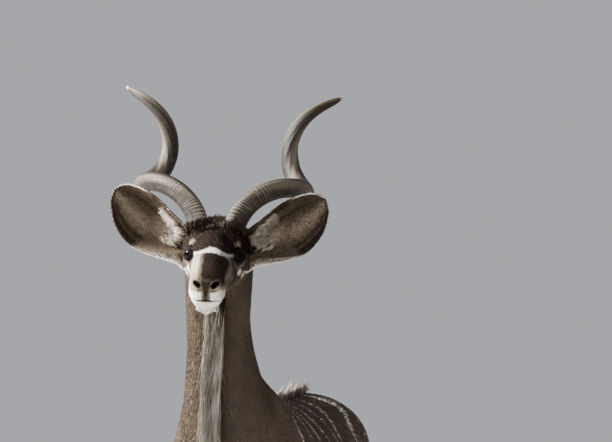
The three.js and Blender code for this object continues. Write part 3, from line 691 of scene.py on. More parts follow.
@dataclass
class BodyTube:
    """Head, neck and torso as one tube, drawn by its slices from the nose to the tail.

    A slice holds its top and bottom point in the profile, its half width, how high up it is
    widest, and how square it is above and below that height.
    """

    stance: Stance
    sides: int = 138
    samples: int = 4000
    head_step: float = 2.3
    neck_step: float = 6.5
    torso_step: float = 10.5
    head_end: float = 12.7
    torso_start: float = 21.6
    head_rows: Table = (
        (261, 8, 259, -6, 9, 0.5, 2, 2),
        (257, 24, 253, -30, 27, 0.5, 2.1, 2.1),
        (248, 36, 244, -58, 41, 0.52, 2.3, 2.2),
        (232, 43, 228, -76, 47, 0.55, 2.4, 2.2),
        (205, 46, 203, -78, 48, 0.56, 2.4, 2.1),
        (170, 48, 169, -75, 47, 0.56, 2.4, 2),
        (130, 52, 130, -83, 50, 0.56, 2.3, 1.9),
        (90, 56, 90, -98, 60, 0.58, 2.3, 1.9),
        (50, 60, 46, -112, 73, 0.61, 2.4, 1.8),
        (14, 65, 4, -124, 81, 0.64, 2.7, 1.8),
        (-22, 70, -34, -131, 84, 0.64, 3, 1.8),
        (-58, 73, -66, -133, 83, 0.62, 3.1, 1.8),
        (-94, 69, -90, -128, 83, 0.57, 2.6, 1.9),
    )
    rows: Table = (
        (-822, 1797, -776, 1605, 92, 0.5, 2.1, 2),
        (-767, 1786, -769, 1588, 97, 0.48, 2, 2),
        (-712, 1756, -762, 1563, 98, 0.46, 2, 2),
        (-656, 1706, -754, 1530, 96, 0.45, 2, 2),
        (-600, 1646, -744, 1486, 94, 0.45, 2, 2),
        (-545, 1582, -734, 1432, 94, 0.45, 2, 2),
        (-490, 1515, -724, 1370, 97, 0.45, 1.9, 2),
        (-442, 1451, -715, 1300, 104, 0.45, 1.9, 2),
        (-402, 1398, -708, 1222, 115, 0.45, 1.9, 2),
        (-368, 1370, -696, 1138, 136, 0.46, 1.9, 2),
        (-334, 1361, -672, 1052, 154, 0.46, 1.8, 2.1),
        (-296, 1352, -624, 964, 168, 0.47, 1.8, 2.1),
        (-252, 1340, -542, 890, 178, 0.47, 1.8, 2.1),
        (-200, 1324, -432, 834, 186, 0.47, 1.8, 2.1),
        (-136, 1307, -302, 799, 195, 0.46, 1.8, 2.1),
        (-56, 1292, -140, 786, 203, 0.46, 1.8, 2.1),
        (42, 1283, 20, 790, 207, 0.46, 1.8, 2.1),
        (150, 1280, 172, 808, 206, 0.47, 1.8, 2.1),
        (258, 1284, 306, 838, 200, 0.49, 1.9, 2),
        (364, 1294, 422, 880, 192, 0.53, 2, 2),
        (462, 1300, 530, 924, 184, 0.56, 2.1, 2),
        (550, 1293, 612, 974, 170, 0.56, 2.1, 2),
        (618, 1270, 664, 1034, 148, 0.56, 2.1, 2),
        (668, 1236, 697, 1092, 112, 0.55, 2, 2),
        (700, 1196, 711, 1136, 62, 0.5, 2, 2),
        (713, 1172, 715, 1158, 12, 0.5, 2, 2),
    )
    swellings: tuple[Swelling, ...] = (
        Swelling((74, 8, 26), (24, 34, 20), (9, -3, 5), True),  # brow
        Swelling((74, 56, 4), (34, 34, 28), (-16, 0, 0), True),  # hollow before the eye
        Swelling((84, -18, -34), (50, 44, 24), (8, 0, 0), True),  # cheekbone
        Swelling((74, -28, -72), (60, 54, 46), (14, 0, 0), True),  # cheek muscle
        Swelling((40, 238, 14), (17, 20, 17), (5, -5, 1), True),  # wing of the nostril
        Swelling((44, 212, -26), (20, 34, 20), (4, 0, 0), True),  # upper lip
        Swelling((0, 262, -20), (7, 20, 14), (0, 5, 0), True),  # groove under the nose
        Swelling((0, 228, -84), (24, 24, 16), (0, -4, -3), True),  # chin
        Swelling((52, -48, 76), (36, 40, 26), (3, 0, 9), True),  # root of the horn
        Swelling((0, -104, 76), (40, 34, 26), (0, 4, 9), True),  # crown between the horns
        Swelling((88, -86, -8), (34, 34, 42), (16, 5, 0), True),  # root of the ear
        Swelling((172, -470, 1020), (70, 100, 120), (18, -8, 0)),  # shoulder muscle
        Swelling((150, -600, 1040), (60, 60, 80), (16, -14, 0)),  # point of the shoulder
        Swelling((140, -390, 1240), (60, 70, 100), (12, 0, 0)),  # shoulder blade
        Swelling((180, -250, 1110), (70, 60, 150), (-12, 0, 0)),  # hollow behind the shoulder
        Swelling((200, -60, 1010), (80, 150, 130), (7, 0, 0)),  # ribs
        Swelling((190, 530, 1070), (80, 130, 130), (18, 0, 0)),  # thigh
        Swelling((150, 405, 1255), (60, 50, 40), (12, 0, 8)),  # point of the hip
        Swelling((60, 660, 1200), (50, 60, 40), (8, 10, 0)),  # point of the seat
        Swelling((190, 310, 1190), (70, 80, 70), (-18, 0, 0)),  # hollow of the flank
        Swelling((200, 350, 950), (70, 70, 90), (-14, 0, 0)),  # fold before the thigh
        # finer forms, on the skin alone
        Swelling((24, 120, 50), (9, 70, 12), (0.5, 0, 1.8), True),  # edge of the nose bone
        Swelling((56, 62, -44), (20, 60, 8), (3, 0, 1), True),  # ridge of the face
        Swelling((60, 96, -80), (22, 46, 12), (3, 0, -1), True),  # lower jaw
        Swelling((60, 42, 17), (22, 25, 19), (-15, 0, 0), True),  # before the eye's corner
        Swelling((80, -20, 34), (14, 20, 12), (-4, 0, -1), True),  # temple
        Swelling((62, -730, 1420), (34, 60, 170), (7, 0, 0)),  # front muscle of the neck
        Swelling((84, -640, 1400), (26, 30, 170), (-5, 0, 0)),  # groove behind it
        Swelling((120, -500, 1210), (40, 40, 90), (-6, 0, 0)),  # before the shoulder blade
        Swelling((190, -330, 1000), (40, 34, 90), (-7, 0, 0)),  # behind the upper arm
        Swelling((190, 430, 1150), (50, 40, 110), (7, 0, 0)),  # front edge of the thigh
        Swelling((150, 600, 1060), (40, 30, 120), (-5, 0, 0)),  # groove of the thigh
    )

    def __post_init__(self) -> None:
        """Works out the stations of the slices and the places of the swellings."""
        st = self.stance
        rows = []
        for top_f, top_u, low_f, low_u, *rest in self.head_rows:
            top, low = st.head(0, top_f, top_u), st.head(0, low_f, low_u)
            rows.append((top[1], top[2], low[1], low[2], *rest))
        self.at = Stations(rows + [list(r) for r in self.rows])
        self.end = len(self.at.knots) - 1
        self.centres = [np.array(st.head(*s.at) if s.in_head else s.at, float) for s in self.swellings]

    def formed(self, p: Array) -> Array:
        """Adds every swelling: its push times a bell of the distance from its centre."""
        moved = p.copy()
        for swelling, centre in zip(self.swellings, self.centres):
            for sign in (1,) if centre[0] == 0 else (1, -1):
                mirror = np.array([sign, 1, 1])
                far = np.sum(((p - centre * mirror) / np.array(swelling.size)) ** 2, axis=-1)
                moved += np.exp(-far)[..., None] * np.array(swelling.push) * mirror
        return moved

    def surface(self, station: Array, angle: Array, inset: Value = 0.0) -> Array:
        """Points of the tube: a rounded box in each slice, with the swellings added.

        Args:
            station: station numbers, one for each ring.
            angle: angles round the slice, from the left side upwards.
            inset: how far the surface lies inside the solid, for each ring.

        Returns:
            Points in the shape (rings, angles, 3).
        """
        top_y, top_z, low_y, low_z, half, widest, sq_top, sq_low = np.moveaxis(self.at(station), -1, 0)
        top, low = xyz(0.0, top_y, top_z), xyz(0.0, low_y, low_z)
        middle = low + (top - low) * widest[:, None]
        up = unit(top - low)
        inset = np.broadcast_to(inset, top_y.shape)
        above = np.maximum(np.linalg.norm(top - middle, axis=-1) - inset, 1.0)
        below = np.maximum(np.linalg.norm(low - middle, axis=-1) - inset, 1.0)
        upper = np.sin(angle)[None, :] > 0
        n = np.where(upper, sq_top[:, None], sq_low[:, None])
        c, s = rounded_box(angle[None, :], n)
        reach = np.where(upper, above[:, None], below[:, None]) * s
        p = middle[:, None, :] + up[:, None, :] * reach[..., None]
        p[..., 0] = c * np.maximum(half - inset, 1.0)[:, None]
        return self.formed(p)

    def depth(self, station: Array) -> Array:
        """How deep the coat is at each station: shortest on the face."""
        return 1.6 + 1.6 * ramp(station, 8, 4) + 2.8 * ramp(station, 13, 4)

    def stations(self) -> Array:
        """Stations whose rings are spaced as each part of the body needs."""
        fine = np.linspace(0, self.end, self.samples)
        row = self.at(fine)
        top = np.hypot(*np.gradient(row[:, :2], axis=0).T)
        low = np.hypot(*np.gradient(row[:, 2:4], axis=0).T)
        spacing = (
            self.head_step
            + (self.neck_step - self.head_step) * ramp(fine, 12.2, 2.5)
            + (self.torso_step - self.neck_step) * ramp(fine, 19, 4)
        )
        count = np.cumsum(np.maximum(top, low) / spacing)
        return np.interp(np.arange(int(count[-1]) + 1), count - count[0], fine)

    def relief(self, p: Array, n: Array) -> Array:
        """The fine relief of the muzzle: lips, nostrils and the groove between them."""
        s, f, u = self.stance.in_head(p)
        a, sign = np.abs(s), np.sign(s)
        line = self.mouth_line(f)
        reach = ramp(f, 156, 12)
        lips = 1.8 * bell(u - line, 6, 4.5) + 1.5 * bell(u - line, -6, 4.5)
        move = n * (reach * (lips - 5.2 * bell(u, line, 1.7)))[..., None]
        x, h = a - 25.0, u - 12.0
        q = self.nostril_reach(x, h)
        front = ramp(f, 228, 10)
        hole = front * fall(q, 0.5, 0.55)
        inward = -17 * self.stance.forward - 3 * self.stance.upward
        move += hole[..., None] * inward
        move[..., 0] -= hole * sign * 3
        rim = 2.2 * bell(q, 1.3, 0.25) - 1.4 * bell(q, 2.1, 0.3) * (x > 0)
        move += n * (front * rim)[..., None]
        groove = bell(a / 2.4) * front * ramp(u, -44, 6) * fall(u, 4, 10)
        move -= n * (2.6 * groove)[..., None]
        return p + move

    def orbit(self, p: Array, side: Side, lie: float = 23.0, wide: float = 90.0) -> Array:
        """Presses the flesh round an eye down to the eyeball.

        A point outside the ball loses a share of its height over it. The share is whole inside a
        cone round the way the eye looks, and fades beyond the cone and farther from the eye.
        """
        centre = self.stance.eye(side)
        v = p - centre
        r = np.linalg.norm(v, axis=-1)
        out = unit(np.array(Lids.looks) * np.array([side.value, 1, 1]))
        share = fall(away_from(out, v), wide, 34) * fall(r, 46, 40)
        lowered = r - share * np.maximum(r - lie, 0)
        return centre + v * (lowered / np.maximum(r, 1e-6))[..., None]

    @staticmethod
    def mouth_line(f: Array) -> Array:
        """How high the line of the mouth runs, from how far forward it is."""
        return -40 + 0.052 * (f - 236)

    @staticmethod
    def nostril_reach(x: Array, h: Array) -> Array:
        """Distance from a nostril's centre, 1 at its rim, which slants outwards and up."""
        slant = math.radians(32)
        along = x * math.cos(slant) + h * math.sin(slant)
        across = h * math.cos(slant) - x * math.sin(slant)
        return np.hypot(along / 12.5, across / 8.0)

    def shell(self) -> Shell:
        """The closed skin of head, neck and torso, with each point's station kept."""
        station = self.stations()
        p = self.surface(station, turns(self.sides, 0.5), self.depth(station))
        p = self.relief(p, grid_normals(p))
        for side in Side:
            p = self.orbit(p, side)
        return closed_tube(p, {"first": station[:, None], "second": 0.0})

    def station_of(self, p: Array) -> Array:
        """The station whose slice holds each point: where its signed distance changes sign."""
        count = 600
        fine = np.linspace(0, self.end, count)
        row = self.at(fine)
        ahead = unit(np.stack([row[:, 3] - row[:, 1], row[:, 0] - row[:, 2]], axis=-1))
        offset = np.sum(ahead * (row[:, :2] + row[:, 2:4]) / 2, axis=-1)
        found = [
            np.sum(block[:, 1:] @ ahead.T < offset, axis=1)
            for block in np.array_split(p, max(1, len(p) // 20000))
        ]
        return np.interp(np.concatenate(found), np.arange(count), fine)

    def tailward(self, station: Array) -> Array:
        """The way from nose to tail across each slice."""
        row = self.at(station)
        return -unit(xyz(0.0, row[:, 3] - row[:, 1], row[:, 0] - row[:, 2]))

    def height_in(self, p: Array, station: Array) -> Array:
        """How high each point lies in its slice, from where the slice is widest."""
        row = self.at(station)
        top, low = row[:, :2], row[:, 2:4]
        middle = low + (top - low) * row[:, 5:6]
        return np.sum((p[:, 1:] - middle) * unit(top - low), axis=-1)

    def round_of(self, p: Array, station: Array) -> Array:
        """The angle of each point round its slice, from 0 at the left side to 1 all the way round."""
        return (np.arctan2(self.height_in(p, station), p[:, 0]) / (2 * math.pi)) % 1.0


@dataclass
class ProfileLine:
    """The upper or the lower line of the body, measured in millimetres along it."""

    body: BodyTube
    upper: bool
    parts: int = 12
    near: float = 6.0

    def __post_init__(self) -> None:
        """Steps along the line and adds up its length."""
        row = self.body.at(np.linspace(0, self.body.end, self.parts * self.body.end + 1))
        self.path = row[:, :2] if self.upper else row[:, 2:4]
        step = np.linalg.norm(np.diff(self.path, axis=0), axis=-1)
        self.reached = np.concatenate([[0.0], np.cumsum(step)])

    def distance(self, station: Value) -> Array:
        """How far along the line each station lies."""
        return np.interp(station * self.parts, np.arange(len(self.reached)), self.reached)

    def point(self, far: Array) -> Array:
        """The point at each distance."""
        return xyz(0.0, *(np.interp(far, self.reached, column) for column in self.path.T))

    def at(self, far: Array) -> tuple[Array, Array]:
        """The point, and the direction out of the body, at each distance."""
        step = self.point(far + self.near) - self.point(far - self.near)
        sign = 1 if self.upper else -1
        return self.point(far), unit(xyz(0.0, -sign * step[..., 2], sign * step[..., 1]))


# Limbs, tail, ears and lids


@dataclass
class Limb:
    """A leg: slices from the top down, each with its middle, half width and half depth."""

    name: str
    part: Part
    side: Side
    rows: Table
    stride: float
    stride_top: float = 950.0
    sides: int = 40
    rings: int = 112
    square: float = 2.1
    inset: float = 2.4
    cords: tuple[float, float] = (200.0, 380.0)
    knob: tuple[float, float] = (455.0, 5.0)

    def __post_init__(self) -> None:
        """Makes the curve through the slices."""
        self.at = Stations(self.rows)

    def swung(self, p: Array) -> Array:
        """Moves points with the stride: the foot goes its whole way, the top none of it."""
        out = p.copy()
        out[..., 1] += self.stride * smooth((self.stride_top - p[..., 2]) / self.stride_top)
        return out

    def shell(self) -> Shell:
        """The leg as a closed tube.

        A slice is a rounded box. Grooves run beside the cords behind the cannon bone, in front
        of the heel cord and along the forearm, and a knob stands out behind the joint.
        """
        t = np.linspace(0, len(self.rows) - 1, self.rings)
        x, y, z, wide, deep = np.moveaxis(self.at(t), -1, 0)
        angle = turns(self.sides, 0.5)
        c, s = rounded_box(angle[None, :], self.square)
        inset = self.inset + 2.5 * ramp(z, 600, 250)
        low, high = self.cords
        window = ramp(z, low, 40) * fall(z, high, 40)
        above = ramp(z - high, 130, 40) * fall(z - high, 330, 80)
        back = angle - math.pi / 2
        beside = bell(np.abs(back), 0.8, 0.3)[None, :]
        groove = 3.2 * window[:, None] * beside + 4.0 * above[:, None] * beside
        knob_z, knob_out = self.knob
        knob = knob_out * bell(z, knob_z, 26)[:, None] * bell(back / 0.5)[None, :]
        reach = 1 - groove / np.minimum(wide, deep)[:, None] + knob / deep[:, None]
        px = x[:, None] + c * (wide - inset)[:, None] * reach
        py = y[:, None] + s * (deep - inset)[:, None] * reach
        p = self.swung(xyz(self.side.value * px, py, z[:, None]))
        return closed_tube(p, {"first": t[:, None], "second": self.stride})

    @property
    def foot(self) -> tuple[float, float]:
        """Where the foot stands before the stride: across and along the body."""
        return self.rows[-2][0], self.rows[-2][1]


FORELEG = (
    (104, -450, 1010, 62, 120),
    (112, -450, 930, 64, 110),
    (118, -440, 865, 58, 94),
    (118, -432, 800, 48, 72),
    (113, -434, 720, 41, 55),
    (109, -441, 640, 35, 45),
    (106, -448, 560, 30, 37),
    (104, -455, 492, 29, 34),
    (103, -460, 442, 33, 38),
    (102, -457, 396, 28, 32),
    (101, -451, 344, 21, 26),
    (101, -449, 280, 18.5, 24),
    (101, -448, 210, 19, 26),
    (101, -446, 166, 25, 33),
    (101, -455, 128, 24, 30),
    (101, -472, 96, 22, 27),
    (101, -488, 62, 27, 35),
    (101, -496, 34, 24, 33),
)
HINDLEG = (
    (88, 490, 1200, 50, 105),
    (106, 508, 1090, 78, 150),
    (118, 512, 1000, 84, 158),
    (124, 512, 920, 77, 146),
    (124, 512, 850, 67, 122),
    (119, 520, 780, 55, 95),
    (114, 540, 710, 43, 70),
    (109, 568, 640, 33, 51),
    (106, 596, 575, 26, 41),
    (104, 616, 515, 27, 44),
    (103, 612, 460, 30, 42),
    (102, 602, 408, 26, 33),
    (101, 594, 340, 21, 28),
    (101, 588, 260, 20, 26),
    (101, 585, 205, 21, 28),
    (101, 584, 164, 26, 34),
    (101, 574, 126, 25, 31),
    (101, 559, 95, 23, 28),
    (101, 544, 62, 27, 35),
    (101, 537, 34, 24, 33),
)


def all_limbs() -> list[Limb]:
    """The four legs, in a quiet, open stance."""
    hind = {"cords": (200.0, 420.0), "knob": (530.0, 9.0)}
    return [
        Limb("foreleg", Part.FORELEG, Side.LEFT, FORELEG, -34.0),
        Limb("hindleg", Part.HINDLEG, Side.LEFT, HINDLEG, 44.0, **hind),
        Limb("foreleg", Part.FORELEG, Side.RIGHT, FORELEG, 26.0),
        Limb("hindleg", Part.HINDLEG, Side.RIGHT, HINDLEG, -40.0, **hind),
    ]


@dataclass
class Tail:
    """The tail's core: slices along a path, each with its y, z, half width and half depth."""

    rows: Table = (
        (676, 1222, 26, 22),
        (716, 1206, 24, 18),
        (748, 1168, 21, 15),
        (762, 1110, 22, 14),
        (768, 1040, 23, 14),
        (770, 960, 22, 13),
        (769, 890, 15, 10),
        (767, 840, 6, 5),
    )
    sides: int = 28
    rings: int = 60
    inset: float = 2.5

    def __post_init__(self) -> None:
        """Makes the curve through the slices."""
        self.at = Stations(self.rows)

    def shell(self) -> Shell:
        """The core as a closed tube of ellipses, each across the way the path runs there."""
        t = np.linspace(0, len(self.rows) - 1, self.rings)
        y, z, wide, deep = self.at(t).T
        ahead = self.at(np.minimum(t + 0.05, len(self.rows) - 1))
        before = self.at(np.maximum(t - 0.05, 0))
        along = unit(xyz(0.0, ahead[:, 0] - before[:, 0], ahead[:, 1] - before[:, 1]))
        out = xyz(0.0, -along[:, 2], along[:, 1])
        angle = turns(self.sides, 0.5)
        high = np.sin(angle)[None, :] * (deep - self.inset)[:, None]
        p = xyz(0.0, y, z)[:, None, :] + out[:, None, :] * high[..., None]
        p[..., 0] += np.cos(angle)[None, :] * (wide - self.inset)[:, None]
        return closed_tube(p, {"first": t[:, None], "second": 0.0})


@dataclass
class Ear:
    """A wide shell of an ear, cupped forwards, on a thick root.

    A row holds the half width of the upper and of the lower edge, and how deep the cup is; a knot
    is the share of the ear's length at which the row stands.
    """

    stance: Stance
    side: Side
    root: Triple = (88.0, -78.0, -8.0)
    axis: Triple = (0.81, 0.1, 0.58)
    length: float = 254.0
    edge: float = 1.3
    heel: float = 24.0
    steps: int = 64
    across: int = 44
    knots: tuple[float, ...] = (0, 0.12, 0.3, 0.48, 0.65, 0.8, 0.91, 0.97, 1)
    rows: Table = (
        (34, 44, 32),
        (40, 58, 46),
        (46, 82, 52),
        (53, 98, 48),
        (53, 92, 38),
        (46, 74, 26),
        (34, 50, 16),
        (20, 30, 9),
        (4, 4, 5),
    )

    def __post_init__(self) -> None:
        """Makes the curve of its widths and cup, and its own directions."""
        self.at = Stations(self.rows, self.knots)
        along = unit(np.array(self.axis))
        up = np.array([-self.axis[2], -0.1, self.axis[0]])
        up = unit(up - along * (up @ along))
        back = np.cross(along, up)
        self.along = along
        self.up = up
        self.back = back if back[1] > 0 else -back

    def sheet(self, t: Array, v: Array) -> Array:
        """The middle surface of the left ear.

        A point goes along the axis by t, across by v times the half width of that edge, and
        back by the cup times 1 - |v|^2.2. Shallow folds run from the root towards the tip.
        """
        upper, lower, cup = np.moveaxis(self.at(np.maximum(t, 0)), -1, 0)
        near = 1 - smooth(t / 0.5)
        back = self.back[None, None, :] - 0.35 * near[..., None] * self.up
        wide = np.where(v > 0, upper, lower) * v
        folds = 3.0 * np.cos(v * 9.0) * smooth(t / 0.15) * fall(t, 0.45, 0.4) * (1 - v**2)
        deep = cup * (1 - np.abs(v) ** 2.2) - 18 * (1 - t) + folds
        p = self.stance.head(*self.root) + self.along * (self.length * t)[..., None]
        return p + self.up * wide[..., None] + back * deep[..., None]

    def shell(self) -> Shell:
        """The ear as a closed shell: its sheet, offset to both faces, round a thin edge."""
        t = -0.14 + 1.14 * np.linspace(0, 1, self.steps) ** 0.92
        v = np.linspace(-1, 1, self.across)
        t, v = np.meshgrid(t, v, indexing="ij")
        p = self.sheet(t, v)
        normal = unit(np.cross(np.gradient(p, axis=0), np.gradient(p, axis=1)))
        normal *= np.where(normal[..., 1:2] < 0, -1.0, 1.0)
        root = 14 * (1 - smooth(t / 0.45)) * (1 - v * v)
        heel = self.heel * (1 - smooth(t / 0.55)) * (1 - smooth(v + 1))
        front = p - normal * self.edge
        back = p + normal * (self.edge + root)[..., None] - self.stance.upward * heel[..., None]
        rings = np.concatenate([front, back[:, ::-1]], axis=1)
        rings[..., 0] *= self.side.value
        first = np.concatenate([t, t[:, ::-1]], axis=1)
        second = np.concatenate([v, v[:, ::-1] + 4.0], axis=1)
        return closed_tube(rings, {"first": first, "second": second})


@dataclass
class Lids:
    """The lids of one eye: a rolled ring round an almond opening, with a fold above it.

    A point of the section holds how many degrees it lies beyond the opening, and how far from the
    eye's centre.
    """

    stance: Stance
    side: Side
    looks: Triple = (0.7, -0.71, 0.03)
    points: int = 96
    half_long: float = 68.0
    half_high_top: float = 52.0
    half_high_low: float = 25.0
    section: Table = (
        (0.0, 21.3),
        (-1.5, 22.3),
        (0.5, 23.8),
        (5.0, 25.2),
        (11.0, 25.4),
        (16.0, 24.0),
        (21.0, 25.6),
        (29.0, 25.8),
        (38.0, 23.6),
        (44.0, 20.0),
        (30.0, 17.5),
        (10.0, 18.5),
        (2.0, 20.4),
    )

    def axes(self) -> tuple[Array, Array, Array]:
        """Across, up and out of the eye."""
        out = unit(np.array(self.looks) * np.array([self.side.value, 1, 1]))
        up = unit(self.stance.upward - out * (self.stance.upward @ out))
        return np.cross(up, out), up, out

    def opening(self, round_angle: Array) -> Array:
        """The half opening of the lids in degrees, round the way the eye looks."""
        c, s = np.cos(round_angle), np.sin(round_angle)
        high = np.where(s > 0, self.half_high_top, self.half_high_low)
        almond = 1 / np.sqrt((c / self.half_long) ** 2 + (s / high) ** 2)
        return almond * (1 - 0.08 * np.abs(np.sin(2 * round_angle)))

    def shell(self) -> Shell:
        """The ring: at each angle round the opening, the section swung out over the eyeball."""
        theta = turns(self.points)
        across, up, out = self.axes()
        open_angle = self.opening(theta)
        loops = []
        for delta, radius in self.section:
            a = np.radians(np.minimum(open_angle + delta, 118))
            spoke = np.cos(theta)[:, None] * across + np.sin(theta)[:, None] * up
            loops.append(radius * (np.cos(a)[:, None] * out + np.sin(a)[:, None] * spoke))
        ring = closed_ring(np.stack(loops, axis=1) + self.stance.eye(self.side))
        ring.marks = {
            "first": np.zeros(len(ring.points)),
            "second": np.tile(np.arange(len(self.section)), self.points).astype(float),
        }
        return ring


# The skin


@dataclass
class Spots:
    """Places on the skin, with what is known of each."""

    points: Array
    normals: Array
    part: Array
    station: Array
    first: Array
    second: Array

    def within(self, corners: Array, shares: Array) -> "Spots":
        """The places inside triangles, from their corners and the share of each corner."""
        def blended(values: Array) -> Array:
            return np.einsum("nk,nk...->n...", shares, values[corners])

        return Spots(
            blended(self.points),
            unit(blended(self.normals)),
            self.part[corners].max(axis=1),
            blended(self.station),
            blended(self.first),
            blended(self.second),
        )

    def kept(self, keep: Array) -> "Spots":
        """The places for which keep is true."""
        return Spots(*(getattr(self, item.name)[keep] for item in fields(self)))

    def on(self, *parts: Part) -> Array:
        """1 at the places on some parts of the skin, and 0 at the others."""
        return np.isin(self.part, [part.value for part in parts]).astype(float)


class Skin:
    """Body, legs, ears, tail and lids as one closed surface, softened where they meet."""

    SOFT = {Part.FORELEG: 60.0, Part.HINDLEG: 60.0, Part.EAR: 12.0, Part.TAIL: 15.0, Part.LID: 4.0}
    SPREADS = 30
    PASSES = 24
    STEP = 0.6
    SOCKET = 21.8

    def __init__(
        self, body: BodyTube, limbs: list[Limb], tail: Tail, ears: list[Ear], lids: list[Lids]
    ) -> None:
        """Joins the parts and softens the seams."""
        self.stance = body.stance
        self.body = body
        whole = self.holder("body", body.shell(), Part.BODY)
        sockets = [self.holder("socket", self.ball(lid), Part.BODY) for lid in lids]
        joined = [self.holder(limb.name, limb.shell(), limb.part) for limb in limbs]
        joined += [self.holder("ear", ear.shell(), Part.EAR) for ear in ears]
        joined += [self.holder("lid", lid.shell(), Part.LID) for lid in lids]
        joined.append(self.holder("tail", tail.shell(), Part.TAIL))
        mesh = self.union(whole, sockets, joined)
        self.read(mesh)
        for thing in [whole, *sockets, *joined]:
            bpy.data.objects.remove(thing)
        self.soften()
        self.normals = self.vertex_normals()
        LOG.info("skin: %d points, %d triangles", len(self.points), len(self.tris))

    @staticmethod
    def holder(name: str, shell: Shell, part: Part) -> Object:
        """A passing object for one part, whose faces carry the part's number."""
        mesh = mesh_from(name, shell.points * METRE, shell.faces)
        for other in Part:
            mesh.materials.append(bpy.data.materials.get(other.name) or bpy.data.materials.new(other.name))
        mesh.polygons.foreach_set("material_index", np.full(len(mesh.polygons), part.value, np.int32))
        for key in ("first", "second"):
            mark(mesh, key, shell.marks.get(key, np.zeros(len(shell.points))))
        return bpy.data.objects.new(name, mesh)

    def ball(self, lid: Lids) -> Shell:
        """The socket of an eye."""
        a = np.linspace(0, math.pi, 40)[1:-1, None]
        b = turns(64)[None, :]
        rings = xyz(np.sin(a) * np.cos(b), np.sin(a) * np.sin(b), np.cos(a))
        return closed_tube(rings * self.SOCKET + self.stance.eye(lid.side))

    @staticmethod
    def union(
        whole: Object, less: list[Object], more: list[Object]
    ) -> Mesh:
        """Takes some objects from one and joins others to it."""
        scene = bpy.context.scene
        scene.collection.objects.link(whole)
        groups = []
        for kind, things in (("DIFFERENCE", less), ("UNION", more)):
            group = bpy.data.collections.new(kind)
            scene.collection.children.link(group)
            for thing in things:
                group.objects.link(thing)
            step = whole.modifiers.new(kind, "BOOLEAN")
            step.operation = kind
            step.operand_type = "COLLECTION"
            step.collection = group
            step.solver = "MANIFOLD"
            groups.append(group)
        result = bpy.data.meshes.new_from_object(whole.evaluated_get(bpy.context.evaluated_depsgraph_get()))
        for group in groups:
            bpy.data.collections.remove(group)
        return result

    def read(self, mesh: Mesh) -> None:
        """Takes the triangles, and the numbers at their corners, out of a joined mesh."""
        def field_of(items: Sequence, key: str, count: int, kind: type) -> Array:
            values = np.empty(count, kind)
            items.foreach_get(key, values)
            return values

        mesh.calc_loop_triangles()
        points = len(mesh.vertices)
        tris = len(mesh.loop_triangles)
        co = field_of(mesh.vertices, "co", points * 3, np.float32)
        self.points = co.reshape(-1, 3).astype(float) / METRE
        self.tris = field_of(mesh.loop_triangles, "vertices", tris * 3, np.int32).reshape(-1, 3)
        owner = field_of(mesh.loop_triangles, "polygon_index", tris, np.int32)
        self.tri_part = field_of(mesh.polygons, "material_index", len(mesh.polygons), np.int32)[owner]
        self.first = field_of(mesh.attributes["first"].data, "value", points, np.float32).astype(float)
        self.second = field_of(mesh.attributes["second"].data, "value", points, np.float32).astype(float)
        self.part = np.zeros(points, int)
        low = np.full(points, 99)
        for k in range(3):
            np.maximum.at(self.part, self.tris[:, k], self.tri_part)
            np.minimum.at(low, self.tris[:, k], self.tri_part)
        self.at_seam = low < self.part
        pairs = np.sort(np.concatenate([self.tris[:, [k, (k + 1) % 3]] for k in range(3)]), axis=1)
        codes = np.unique(pairs[:, 0].astype(np.int64) * points + pairs[:, 1])
        self.edges = np.stack([codes // points, codes % points], axis=-1)
        bpy.data.meshes.remove(mesh)

    def soften(self) -> None:
        """Evens out the skin near the seams.

        The weight of a point is 1 at a seam and falls to 0 at that seam's distance along the
        edges. In each pass a point moves by a step of its weight towards the mean of its neighbours.
        """
        a, b = self.edges.T
        length = np.linalg.norm(self.points[a] - self.points[b], axis=-1)
        weight = np.zeros(len(self.points))
        for part, reach in self.SOFT.items():
            near = np.where(self.at_seam & (self.part == part.value), 1.0, 0.0)
            for _ in range(self.SPREADS):
                np.maximum.at(near, b, near[a] - length / reach)
                np.maximum.at(near, a, near[b] - length / reach)
            weight = np.maximum(weight, near)
        weight = self.STEP * smooth(weight)
        touched = weight > 0.001
        used = touched[a] | touched[b]
        a, b = a[used], b[used]
        count = len(self.points)
        neighbours = np.maximum(np.bincount(a, minlength=count) + np.bincount(b, minlength=count), 1)
        for _ in range(self.PASSES):
            columns = self.points.T
            total = xyz(*(np.bincount(a, c[b], count) + np.bincount(b, c[a], count) for c in columns))
            mean = total / neighbours[:, None]
            self.points += (mean - self.points) * weight[:, None]

    def vertex_normals(self) -> Array:
        """The mean of the normals round each point, weighted by area."""
        p = self.points[self.tris]
        n = np.cross(p[:, 1] - p[:, 0], p[:, 2] - p[:, 0])
        self.areas = np.linalg.norm(n, axis=-1) / 2
        total = np.zeros_like(self.points)
        for k in range(3):
            for axis in range(3):
                total[:, axis] += np.bincount(self.tris[:, k], n[:, axis], len(total))
        return unit(total)

    def spots(self) -> Spots:
        """What is known of every point of the skin."""
        station = self.body.station_of(self.points)
        return Spots(self.points, self.normals, self.part, station, self.first, self.second)


# The coat


def wobble(p: Array, size: float, turn: float = 0.0) -> Array:
    """An uneven wave between about -1 and 1: sines of the three axes, each bent by the next."""
    x, y, z = (p / size + turn).T
    first = np.sin(x + 1.9 * np.sin(0.7 * y + z))
    second = np.sin(1.3 * y + 1.7 * np.sin(0.9 * z + x))
    return (first + second + np.sin(1.1 * z + x)) / 3


def band(x: Array, low: float, high: float, soft: float) -> Array:
    """1 between low and high, fading to 0 over a soft edge outside."""
    return smooth((x - low) / soft + 1) * smooth((high - x) / soft + 1)


